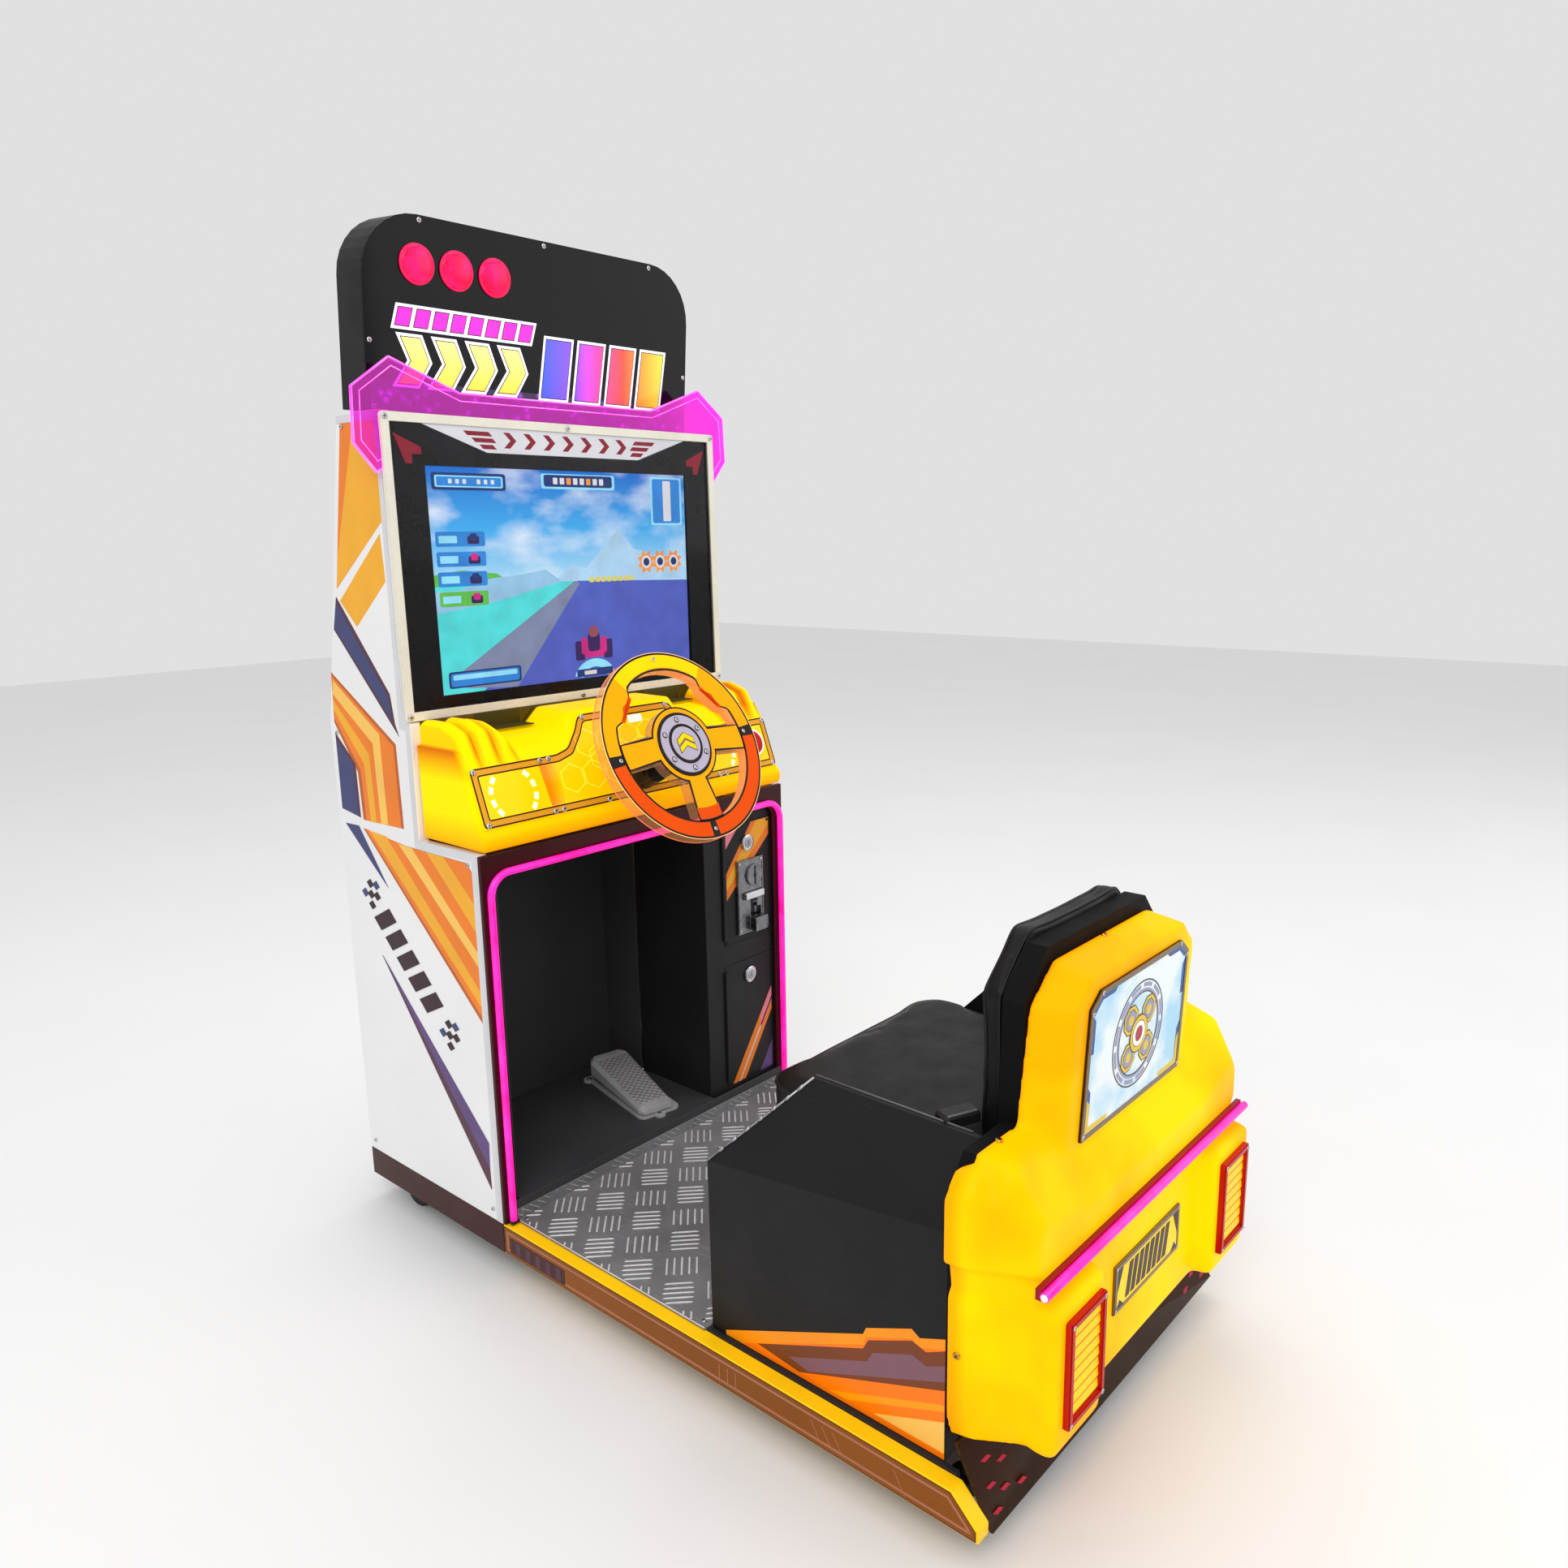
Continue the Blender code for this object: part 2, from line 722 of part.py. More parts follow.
def make_overlay():
    overlay = outline("console_overlay", [overlay_loop()], -OVERLAY, 0.0, yellow_acrylic(), dash_place())
    cut(overlay, steering_hole("overlay_hole"), button_hole("overlay_button_hole"))


def make_start_button():
    place = button_place()
    ring = cylinder("start_button_ring", place, GAP, 0.006, 0.022, red_lens(), 32)
    sleeve = cylinder("ring_sleeve", place, -0.030, 0.002, 0.0140, sides=24)
    bore = cylinder("ring_bore", place, -0.040, 0.020, 0.0124, sides=24)
    pocket = cylinder("ring_pocket", place, 0.0012, 0.020, 0.0185, sides=32)
    join(ring, sleeve)
    cut(ring, bore, pocket)
    button = cone("start_button", place, 0.0055, 0.010, 0.0180, 0.0150, red_lens(), 32)
    plunger = cylinder("button_plunger", place, -0.026, 0.007, 0.0120, sides=24)
    join(button, plunger)
    pivot("start_button_slide", place, [button])


# ---------------------------------------------------------------- steering

def rim_inner(angle):
    """Radius of the rim's inner edge, which swells inwards at the two hand grips."""
    away = min(abs(angle - 38.0), abs(angle - 142.0))
    swell = max(0.0, 1.0 - max(0.0, away - 10.0) / 7.0)
    return WHEEL_RIM_INNER - (WHEEL_RIM_INNER - WHEEL_GRIP_INNER) * min(1.0, swell)


def wheel_window(start, stop, spread, steps):
    """One opening of the wheel, from the rim down to the hub, between two spokes."""
    points = []
    for i in range(steps + 1):
        angle = start + (stop - start) * i / steps
        radius = rim_inner(angle)
        points.append((radius * math.cos(math.radians(angle)), radius * math.sin(math.radians(angle))))
    return points + arc((0, 0), WHEEL_HUB_RADIUS, stop - spread, start + spread, max(4, steps // 3))


def make_steering():
    place = wheel_place()
    rim = arc((0, 0), WHEEL_RADIUS, 0, 360, 56)[:-1]
    windows = [
        wheel_window(8.0, 172.0, 14.0, 26),
        wheel_window(192.0, 258.0, 8.0, 9),
        wheel_window(282.0, 348.0, 8.0, 9),
    ]
    plate = outline("steering_wheel", [rim] + windows, -WHEEL_PLATE, 0.0, yellow_acrylic(), place)
    hub = cylinder("wheel_hub", place, GAP, 0.003, 0.0425, white_board(), 32)
    badge = cone("hub_badge", place, 0.002, 0.0045, 0.029, 0.0275, sides=32)
    join(hub, badge)
    shaft = cylinder("steering_shaft", place, -0.190, -WHEEL_PLATE - GAP, SHAFT_RADIUS, bare_steel(), 24)
    flange = cylinder("shaft_flange", place, -WHEEL_PLATE - 0.0060, -WHEEL_PLATE - GAP, 0.038, sides=32)
    boss = cylinder("shaft_boss", place, -0.060, -WHEEL_PLATE - 0.002, 0.016, sides=24)
    join(shaft, flange, boss)
    pivot("steering_pivot", place, [plate, hub, shaft])
    housing = cylinder("steering_housing", place, -0.170, -0.074, 0.0285, black_sheet(), 32)
    nose = box("housing_nose", (-0.023, -0.023, -0.094), (0.023, 0.023, -0.068), place=place)
    sensor = cylinder("steering_sensor", place, -0.212, -0.168, 0.016, sides=24)
    bore = cylinder("housing_bore", place, -0.1915, 0.0, SHAFT_RADIUS + 0.0006, sides=24)
    join(housing, nose, sensor)
    cut(housing, bore)


# ---------------------------------------------------------------- footwell

def make_front_frame():
    outer = [
        (FRAME_OPEN_HALF, RAIL_TOP_Z + 0.0005), (TOWER_HALF, RAIL_TOP_Z + 0.0005),
        (TOWER_HALF, FRAME_TOP_Z), (0.0, FRAME_TOP_Z),
    ]
    radius = 0.020
    corner = arc((FRAME_OPEN_HALF - radius, FRAME_OPEN_TOP_Z - radius), radius, 90, 0, 4)
    right = [(0.0, FRAME_OPEN_TOP_Z)] + corner + outer
    left = [(-x, z) for x, z in reversed(right) if x > 1e-6]
    low = -FRAME_BACK_Y
    outline("front_frame", [right + left], low, low + FRAME_DEPTH, maroon_paint(), front_frame_at(0))


def make_neon():
    y = FRAME_BACK_Y - FRAME_DEPTH - GAP - NEON_RADIUS
    bend = 0.030
    right = [(NEON_HALF, NEON_LOW_Z)] + arc((NEON_HALF - bend, NEON_TOP_Z - bend), bend, 0, 90, 6)
    left = [(-x, z) for x, z in reversed(right)]
    tube("neon_arch", [(x, y, z) for x, z in right + left], NEON_RADIUS, pink_acrylic(), 2)


def make_footwell():
    liner_low = SHELF_TOP_Z + GAP
    back = FOOTWELL_BACK_Y
    left = FOOTWELL_LEFT_X
    right = COLUMN_LEFT_X - GAP
    front = FRONT_Y + 0.001
    top = 0.575
    liner_high = (right, back + SHEET, top + SHEET)
    liner = box("footwell_liner", (left - SHEET, back, liner_low), liner_high, black_sheet())
    wall = box("liner_wall", (left - SHEET, front, liner_low), (left, back + 0.001, top + SHEET))
    ceiling = box("liner_ceiling", (left - SHEET, front, top), (right, back + 0.001, top + SHEET))
    corner = (right - SHEET, COLUMN_REAR_Y + GAP, liner_low)
    # Carries on the coin column's side to the back of the footwell.
    side = box("liner_side", corner, (right, back + 0.001, top + SHEET))
    join(liner, wall, ceiling, side)
    shelf_low = PLATE_TOP_Z + 0.0008
    shelf_front = (left - SHEET, SHELF_LIP_Y + 0.001, shelf_low)
    shelf = box("footwell_shelf", shelf_front, (right, back + SHEET, SHELF_TOP_Z), black_sheet())
    lip = box("shelf_lip", (-PLATE_HALF, SHELF_LIP_Y, shelf_low), (PLATE_HALF, 0.2290, SHELF_TOP_Z))
    join(shelf, lip)


def make_coin_column():
    low = PLATE_TOP_Z + 0.0008
    top = 0.5715
    corner = (COLUMN_LEFT_X, COLUMN_FRONT_Y, low)
    column = box("coin_column", corner, (COLUMN_RIGHT_X, COLUMN_REAR_Y, top), black_sheet())
    wall = 0.003
    cavity = box(
        "column_cavity",
        (COLUMN_LEFT_X + wall, COLUMN_FRONT_Y + wall, low + wall),
        (COLUMN_RIGHT_X - wall, COLUMN_REAR_Y + 0.02, top - wall),
    )
    cut(column, cavity)
    for name, (door_low, door_top) in (("coin", COIN_DOOR_Z), ("cash", CASH_DOOR_Z)):
        hole = box(
            f"{name}_doorway",
            (DOOR_LEFT_X - GAP, 0.20, door_low - GAP),
            (DOOR_RIGHT_X + GAP, 0.25, door_top + GAP),
        )
        cut(column, hole)
    box_low = low + wall + GAP
    bin_ = box("cash_box", (0.135, 0.262, box_low), (0.256, 0.385, 0.200), bare_steel())
    cut(bin_, box("cash_box_inside", (0.137, 0.264, box_low + 0.002), (0.254, 0.383, 0.25)))


def column_door(name, span, hole):
    rear = COLUMN_FRONT_Y + DOOR_SHEET
    left = DOOR_LEFT_X
    low = span[0] + 0.01
    top = span[1] - 0.01
    door = box(name, (left, COLUMN_FRONT_Y, span[0]), (DOOR_RIGHT_X, rear, span[1]), black_sheet())
    knuckle = cylinder(f"{name}_knuckle", upright(*DOOR_HINGE), low, top, 0.002, sides=12)
    leaf_high = (left + 0.006, COLUMN_FRONT_Y + 0.001, top)
    leaf = box(f"{name}_leaf", (left + 0.0004, 0.2340, low), leaf_high)
    join(door, leaf, knuckle)
    cut(door, *hole)
    return door


def cam_lock(name, z):
    place = facing(LOCK_X, COLUMN_FRONT_Y, z)
    lock = cylinder(name, place, GAP, 0.0032, 0.0135, chrome(), 24)
    barrel = cylinder(f"{name}_barrel", place, -0.022, 0.001, 0.0088, sides=24)
    slot = box(f"{name}_keyway", (-0.0008, -0.0045, 0.0015), (0.0008, 0.0045, 0.010), place=place)
    cam = box(f"{name}_cam", (-0.0055, -0.009, -0.0215), (0.0055, 0.026, -0.0190), place=place)
    join(lock, barrel, cam)
    cut(lock, slot)
    pivot(f"{name}_pivot", place, [lock])
    return cylinder(f"{name}_hole", place, -0.01, 0.01, 0.0094, sides=24)


PLATE_X = (0.185, 0.245)
SELECTOR_Z = (0.370, 0.493)
REJECT_Z = (0.4275, 0.4385)


def make_coin_selector():
    front = COLUMN_FRONT_Y - 0.0045
    low = (PLATE_X[0], front, SELECTOR_Z[0])
    selector = box("coin_selector", low, (PLATE_X[1], COLUMN_FRONT_Y - GAP, SELECTOR_Z[1]), chrome())
    works = box("selector_works", (0.1905, front + 0.002, 0.3805), (0.2395, 0.300, 0.4845))
    disc = cylinder("coin_disc", facing(0.222, front, 0.465), -0.001, 0.003, 0.018, sides=24)
    cup = box("return_cup", (0.212, front - 0.013, 0.373), (0.240, front + 0.001, 0.396))
    join(selector, works, disc, cup)
    slot = box("coin_slot", (0.2208, front - 0.01, 0.450), (0.2232, 0.262, 0.480))
    pocket = box("cup_pocket", (0.214, front - 0.011, 0.376), (0.238, front + 0.006, 0.410))
    chute = box("cup_chute", (0.219, front - 0.005, 0.392), (0.229, front + 0.010, 0.418))
    recess_low = (0.1970, front - 0.001, REJECT_Z[0] - 0.0005)
    recess = box("reject_recess", recess_low, (0.2410, front + 0.0040, REJECT_Z[1] + 0.0005))
    cut(selector, slot, pocket, chute, recess)
    low = (0.1975, front - 0.0065, REJECT_Z[0])
    high = (0.2405, front + 0.0003, REJECT_Z[1])
    reject = box("coin_reject_button", low, high, black_plastic(), 0.0008, 1)
    pivot("reject_slide", facing(0.219, front, 0.433), [reject])
    opening = box("selector_hole", (0.190, 0.20, 0.380), (0.240, 0.25, 0.485))
    return selector, opening


def make_column_doors():
    selector, selector_hole = make_coin_selector()
    coin_hole = cam_lock("coin_door_lock", 0.520)
    cash_hole = cam_lock("cash_door_lock", 0.297)
    coin_door = column_door("coin_door", COIN_DOOR_Z, (selector_hole, coin_hole))
    cash_door = column_door("cash_door", CASH_DOOR_Z, (cash_hole,))
    pivot("coin_door_pivot", upright(*DOOR_HINGE, sum(COIN_DOOR_Z) / 2), [coin_door, selector])
    pivot("cash_door_pivot", upright(*DOOR_HINGE, sum(CASH_DOOR_Z) / 2), [cash_door])


# ---------------------------------------------------------------- pedal

PEDAL_TURN = math.radians(-12.0)
PEDAL_START = Vector((0.020, 0.258, SHELF_TOP_Z))
PEDAL_LENGTH = 0.168
PIVOT_S = 0.035
PIVOT_H = 0.0105


def pedal_place():
    return Matrix.Translation(PEDAL_START) @ Matrix.Rotation(PEDAL_TURN, 4, "Z")


def treadle_section(s, half, low, high):
    """A cross-section of the treadle at s along it, with its upper corners cut."""
    corner = 0.006
    place = pedal_place()
    points = [
        (-half, low), (half, low), (half, high - corner),
        (half - corner, high), (corner - half, high), (-half, high - corner),
    ]
    return [place @ Vector((x, s, z)) for x, z in points]


def make_pedal():
    place = pedal_place()
    flange = rectangle((-0.032, -0.002), (0.040, 0.186), 0.012, 3)
    base = outline("pedal_base", [flange], GAP, 0.004, grey_casting(), place)
    lugs = []
    for i, (x, y) in enumerate(((0.0, -0.004), (-0.030, 0.175), (0.038, 0.175))):
        spot = place @ upright(x, y)
        lugs.append(cylinder(f"pedal_lug_{i}", spot, 0.0005, 0.0046, 0.009, sides=16))
    core = outline(
        "pedal_core", [[(0.045, 0.003), (0.150, 0.003), (0.150, 0.0225), (0.045, 0.0160)]],
        -0.019, 0.021, None, place @ side_frame(0),
    )
    join(base, *lugs, core)
    holes = []
    for i, (x, y) in enumerate(((0.0, -0.006), (-0.032, 0.177), (0.040, 0.177))):
        holes.append(cylinder(f"lug_hole_{i}", place @ upright(x, y), -0.01, 0.02, 0.003, sides=12))
    cut(base, *holes)
    shift = 0.003
    outer = [
        treadle_section(0.0, 0.024, 0.0065, 0.0160),
        treadle_section(0.012, 0.029, 0.0065, 0.0185),
        treadle_section(PEDAL_LENGTH - 0.012, 0.035, 0.0210, 0.0450),
        treadle_section(PEDAL_LENGTH, 0.029, 0.0215, 0.0450),
    ]
    inner = [
        treadle_section(shift, 0.021, -0.010, 0.0125),
        treadle_section(0.013, 0.026, -0.010, 0.0155),
        treadle_section(PEDAL_LENGTH - 0.013, 0.032, -0.010, 0.0415),
        treadle_section(PEDAL_LENGTH - shift, 0.027, -0.010, 0.0415),
    ]
    treadle = loft("pedal_treadle", outer, grey_casting())
    cut(treadle, loft("treadle_hollow", inner))
    pivot("pedal_pivot", place @ Matrix.Translation((0, PIVOT_S, PIVOT_H)), [treadle])


# ---------------------------------------------------------------- platform

def make_checker_plate():
    low = (-PLATE_HALF, PLATE_FRONT_Y, PLATE_TOP_Z - SHEET)
    plate = box("checker_plate", low, (PLATE_HALF, 0.2290, PLATE_TOP_Z), checker_aluminium())
    folds = []
    for name, side in (("left", -1), ("right", 1)):
        near, far = sorted((side * (RAIL_INNER_X - 0.0035), side * (RAIL_INNER_X - 0.0005)))
        high = (far, 0.2290, PLATE_TOP_Z - 0.001)
        folds.append(box(f"plate_fold_{name}", (near, PLATE_FRONT_Y, 0.070), high))
    join(plate, *folds)


def make_rails():
    profile = [
        (RAIL_FRONT_Y, SKIRT_LOW_Z), (RAIL_FRONT_Y, RAIL_TOP_Z), (RAIL_BEND_Y, RAIL_TOP_Z),
        (RAIL_REAR_Y, 0.0542), (RAIL_REAR_Y, SKIRT_LOW_Z),
    ]
    for name, low, high in (("left", -TOWER_HALF, -RAIL_INNER_X), ("right", RAIL_INNER_X, TOWER_HALF)):
        outline(f"side_rail_{name}", [profile], low, high, yellow_shell(), side_frame(0), 0.0012)


def make_rear_panel():
    low = (RAIL_REAR_Y - 0.004, SKIRT_LOW_Z)
    high = (-0.4885, 0.1200)
    thick = 0.004
    profile = [low, (low[0] + thick, low[1]), (high[0] + thick, high[1]), high]
    width = RAIL_INNER_X - GAP
    outline("rear_base_panel", [profile], -width, width, maroon_paint(), side_frame(0))


# ---------------------------------------------------------------- seat

def seat_section(y, crease_z, top_x, top_z, inset):
    """Half outline of the seat base at one station, from the deck's middle out to the floor."""
    side = SEAT_HALF - inset
    inner_x = 0.190 + inset * 0.4
    deck = SEAT_DECK_Z - inset
    right = [
        (0.0, SEAT_LOW_Z - inset * 2), (side, SEAT_LOW_Z - inset * 2), (side, crease_z - inset * 0.4),
        (top_x, top_z - inset), (inner_x, top_z - inset * 1.6), (inner_x, deck), (0.0, deck),
    ]
    return [(x, y, z) for x, z in mirrored(right)]


def make_seat_base():
    front, rear = SEAT_FRONT_Y, SEAT_REAR_Y
    base = loft("seat_base", [
        seat_section(front, 0.301, 0.2620, 0.3020, 0.0),
        seat_section(front - 0.107, 0.314, ARM_TOP_X, ARM_TOP_Z, 0.0),
        seat_section(rear, 0.341, ARM_TOP_X, ARM_TOP_Z, 0.0),
    ], black_sheet())
    inner = SEAT_HALF - SEAT_WALL
    rear_wall = rear + SEAT_WALL
    front_wall = front - SEAT_WALL
    hollow_high = (0.186, front_wall, SEAT_DECK_Z - SEAT_WALL)
    hollow = box("seat_hollow", (-0.186, rear_wall, 0.05), hollow_high)
    sides = []
    for name, low, high in (("left", -inner, -0.180), ("right", 0.180, inner)):
        sides.append(box(f"seat_hollow_{name}", (low, rear_wall, 0.05), (high, front_wall, 0.290)))
    sill = box("seat_sill", (-inner, front - 0.01, 0.05), (inner, front + 0.01, PLATE_TOP_Z + 0.0005))
    cut(base, hollow, sill, *sides)


def make_cushions():
    loop = rectangle((-0.180, -0.4310), (0.180, -0.1360), 0.045, 4)
    outline("seat_cushion", [loop], SEAT_DECK_Z + GAP, CUSHION_TOP_Z, black_leather(), bevel=0.014)
    right = [(0.0, 0.3800), (0.150, 0.3800), (0.155, 0.5480), (0.099, 0.6020), (0.0, 0.6020)]
    span = (-BACK_FRONT_Y, -BACK_SEAM_Y - GAP)
    outline("backrest_cushion", [mirrored(right)], *span, black_leather(), front_frame_at(0), 0.006)


def board_half(grow=0.0):
    """Right half of the outline that the board and the yellow shell share."""
    return [
        (0.0, SHELL_LOW_Z), (0.262 + grow, SHELL_LOW_Z), (0.264 + grow, 0.383 + grow / 2),
        (0.238 + grow / 2, 0.418 + grow / 2), (0.166 + grow / 2, 0.420 + grow / 2),
    ]


def make_backrest_board():
    lower = mirrored(board_half() + [(0.0, 0.420)])
    head = mirrored([(0.0, 0.400), (0.160, 0.400), (0.156, 0.545), (0.112, 0.593), (0.0, 0.593)])
    frame = front_frame_at(0)
    board = outline("backrest_board", [lower], -BOARD_FRONT_Y, -BOARD_REAR_Y, black_leather(), frame)
    pad = outline("board_head", [head], -BACK_SEAM_Y, -BOARD_REAR_Y, None, frame)
    join(board, pad)


def ring_at(half, y_of):
    """A closed section through mirrored half points, with y given by a function of x and z."""
    return [(x, y_of(x, z), z) for x, z in mirrored(half)]


def shell_body(name, inset, finish):
    """Lower part of the yellow moulding, lofted from its front rim back to its flat rear face."""
    low = SHELL_LOW_Z + inset
    rim = [
        (0.0, low), (0.272 - inset, low), (0.280 - inset, 0.150), (0.280 - inset, 0.385),
        (0.246 - inset * 0.6, 0.424 - inset), (0.135, 0.424 - inset), (0.0, 0.424 - inset),
    ]
    mid = [
        (0.0, low), (0.246 - inset, low), (0.254 - inset, 0.150), (0.254 - inset, 0.385),
        (0.238 - inset, 0.414 - inset), (0.135, 0.388 - inset), (0.0, 0.388 - inset),
    ]
    rear = [
        (0.0, low + 0.006), (0.236 - inset, low + 0.006), (0.242 - inset, 0.155),
        (0.242 - inset, 0.350), (0.230 - inset, 0.368 - inset), (0.135, 0.345 - inset),
        (0.0, 0.345 - inset),
    ]
    front = SHELL_RIM_Y + (0.010 if inset else 0.0)
    return loft(name, [
        ring_at(rim, lambda x, z: front),
        ring_at(mid, lambda x, z: -0.530 + inset),
        ring_at(rear, lambda x, z: SHELL_REAR_Y + inset),
    ], finish)


def shell_head(name, inset):
    half = inset * 0.5
    rim = [
        (0.0, 0.300), (0.176 - inset, 0.300), (0.1725 - inset, 0.425), (0.153 - inset, 0.543 - half),
        (0.107 - half, 0.580 - inset), (0.0, 0.580 - inset),
    ]
    rear = [
        (0.0, 0.300), (0.150 - inset, 0.300), (0.143 - inset, 0.400), (0.140 - inset, 0.543 - half),
        (0.112 - half, 0.571 - inset), (0.0, 0.571 - inset),
    ]
    front = SHELL_RIM_Y + (0.010 if inset else 0.0)
    return loft(name, [
        ring_at(rim, lambda x, z: front),
        ring_at(rear, lambda x, z: HEAD_REAR_LOW_Y + (z - HEAD_LOW_Z) * HEAD_LEAN + inset),
    ])


def make_rear_shell():
    shell = shell_body("rear_shell", 0.0, yellow_shell())
    join(shell, shell_head("shell_head", 0.0))
    for name, low, high in (("left", -0.246, -0.138), ("right", 0.138, 0.246)):
        pod = box(f"shell_pod_{name}", (low, POD_REAR_Y, SHELL_LOW_Z + 0.003), (high, -0.545, 0.288))
        join(shell, add_bevel(pod, 0.008, 2))
    cut(shell, shell_body("shell_inside", SHELL_WALL, None), shell_head("shell_head_inside", SHELL_WALL))


def make_shell_fittings():
    lean = math.atan(HEAD_LEAN)
    up = (0.0, math.sin(lean), math.cos(lean))
    picture = axes((0.0, HEAD_REAR_LOW_Y, HEAD_LOW_Z), (1, 0, 0), up)
    right = [(0.0, 0.001), (0.1173, 0.001), (0.116, 0.145), (0.0957, 0.161), (0.0, 0.161)]
    outline("picture_panel", [mirrored(right)], 0.0006, 0.0036, yellow_acrylic(), picture)
    rear = facing(0.0, SHELL_REAR_Y, 0.0)
    plate = rectangle((-0.081, 0.189), (0.081, 0.246), 0.004, 2)
    outline("number_plate", [plate], GAP, 0.0036, yellow_acrylic(), rear)
    bar_high = (0.246, SHELL_REAR_Y - GAP, 0.3110)
    bar = box("rear_light_bar", (-0.246, -0.5665, 0.2990), bar_high, pink_acrylic())
    join(bar, cylinder("light_rod", sideways(0, -0.5680, 0.3050), -0.248, 0.248, 0.0062, sides=12))
    for name, low, high in (("left", -0.2237, -0.1500), ("right", 0.1500, 0.2237)):
        loop = rectangle((low, 0.1537), (high, 0.2700), 0.006, 2)
        outline(f"tail_lamp_{name}", [loop], 0.0003, 0.0076, red_lens(), facing(0.0, POD_REAR_Y, 0.0))


# ---------------------------------------------------------------- wheels and feet

def make_casters():
    for name, side in (("left", -1), ("right", 1)):
        x = side * CASTER_X
        hub = sideways(x, CASTER_Y, CASTER_RADIUS)
        wheel = cylinder(f"caster_wheel_{name}", hub, -0.010, 0.010, CASTER_RADIUS, black_rubber(), 32)
        add_bevel(wheel, 0.003, 2, 60)
        cut(wheel, cylinder(f"caster_bore_{name}", hub, -0.02, 0.02, 0.0042, sides=16))
        low = (x - 0.0150, CASTER_Y - 0.020, 0.0610)
        high = (x + 0.0150, CASTER_Y + 0.020, BEAM_LOW_Z - GAP)
        bracket = box(f"caster_bracket_{name}", low, high, bare_steel())
        pieces = []
        for i, (near, far) in enumerate(((-0.0150, -0.0120), (0.0120, 0.0150))):
            cheek_low = (x + near, CASTER_Y - 0.011, 0.020)
            cheek_high = (x + far, CASTER_Y + 0.011, 0.063)
            pieces.append(box(f"caster_cheek_{name}_{i}", cheek_low, cheek_high))
        pieces.append(cylinder(f"caster_axle_{name}", hub, -0.0165, 0.0165, 0.0040, sides=16))
        join(bracket, *pieces)
        pivot(f"caster_pivot_{name}", hub, [wheel])


def make_feet():
    for name, side in (("left", -1), ("right", 1)):
        place = upright(side * FOOT_X, FOOT_Y)
        foot = cone(f"foot_{name}", place, 0.0, 0.012, 0.022, 0.018, black_rubber(), 24)
        stem = cylinder(f"foot_stem_{name}", place, 0.010, BEAM_LOW_Z - GAP, 0.005, sides=12)
        nut = cylinder(f"foot_nut_{name}", place, 0.050, 0.058, 0.010, sides=6)
        join(foot, stem, nut)


make_side_panels()
make_back_panel()
make_service_door()
make_base_skirt()
make_base_frame()
make_power_inlet()
make_electronics()
make_screen()
make_wing()
make_marquee()
make_console()
make_overlay()
make_start_button()
make_steering()
make_front_frame()
make_neon()
make_footwell()
make_coin_column()
make_column_doors()
make_pedal()
make_checker_plate()
make_rails()
make_rear_panel()
make_seat_base()
make_cushions()
make_backrest_board()
make_rear_shell()
make_shell_fittings()
make_casters()
make_feet()
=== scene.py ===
"""A sitdown racing cabinet: the CAD model dressed with finishes, printed graphics, lamps and cushions."""

import json
import math

import bmesh
import bpy
from mathutils import Matrix, Vector
from mathutils.bvhtree import BVHTree

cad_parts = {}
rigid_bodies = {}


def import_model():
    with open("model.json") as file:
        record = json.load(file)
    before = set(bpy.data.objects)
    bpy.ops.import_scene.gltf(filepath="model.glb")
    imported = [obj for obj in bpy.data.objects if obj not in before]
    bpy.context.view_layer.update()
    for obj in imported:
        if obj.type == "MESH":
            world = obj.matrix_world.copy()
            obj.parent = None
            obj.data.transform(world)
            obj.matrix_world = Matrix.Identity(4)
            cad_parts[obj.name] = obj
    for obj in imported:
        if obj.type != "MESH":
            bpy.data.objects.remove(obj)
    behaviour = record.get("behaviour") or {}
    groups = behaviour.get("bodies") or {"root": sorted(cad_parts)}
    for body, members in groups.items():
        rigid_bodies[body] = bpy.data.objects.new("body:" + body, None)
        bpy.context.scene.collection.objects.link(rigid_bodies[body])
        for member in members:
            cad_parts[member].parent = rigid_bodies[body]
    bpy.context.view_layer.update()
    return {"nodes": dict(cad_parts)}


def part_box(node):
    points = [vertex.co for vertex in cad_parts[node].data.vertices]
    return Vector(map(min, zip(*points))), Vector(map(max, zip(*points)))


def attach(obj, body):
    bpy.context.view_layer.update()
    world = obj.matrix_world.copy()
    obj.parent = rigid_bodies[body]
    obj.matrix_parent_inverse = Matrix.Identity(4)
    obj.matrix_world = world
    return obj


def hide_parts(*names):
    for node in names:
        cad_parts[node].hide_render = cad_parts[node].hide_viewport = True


for startup in list(bpy.data.objects):
    bpy.data.objects.remove(startup)
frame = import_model()
NODES = frame["nodes"]
X, Y, Z = Vector((1, 0, 0)), Vector((0, 1, 0)), Vector((0, 0, 1))


# ------------------------------------------------ finishes

def rgb(red, green, blue):
    """The linear colour of an sRGB colour given in bytes."""
    parts = [c / 255 for c in (red, green, blue)]
    return tuple(c / 12.92 if c < 0.04 else ((c + 0.055) / 1.055) ** 2.4 for c in parts) + (1,)


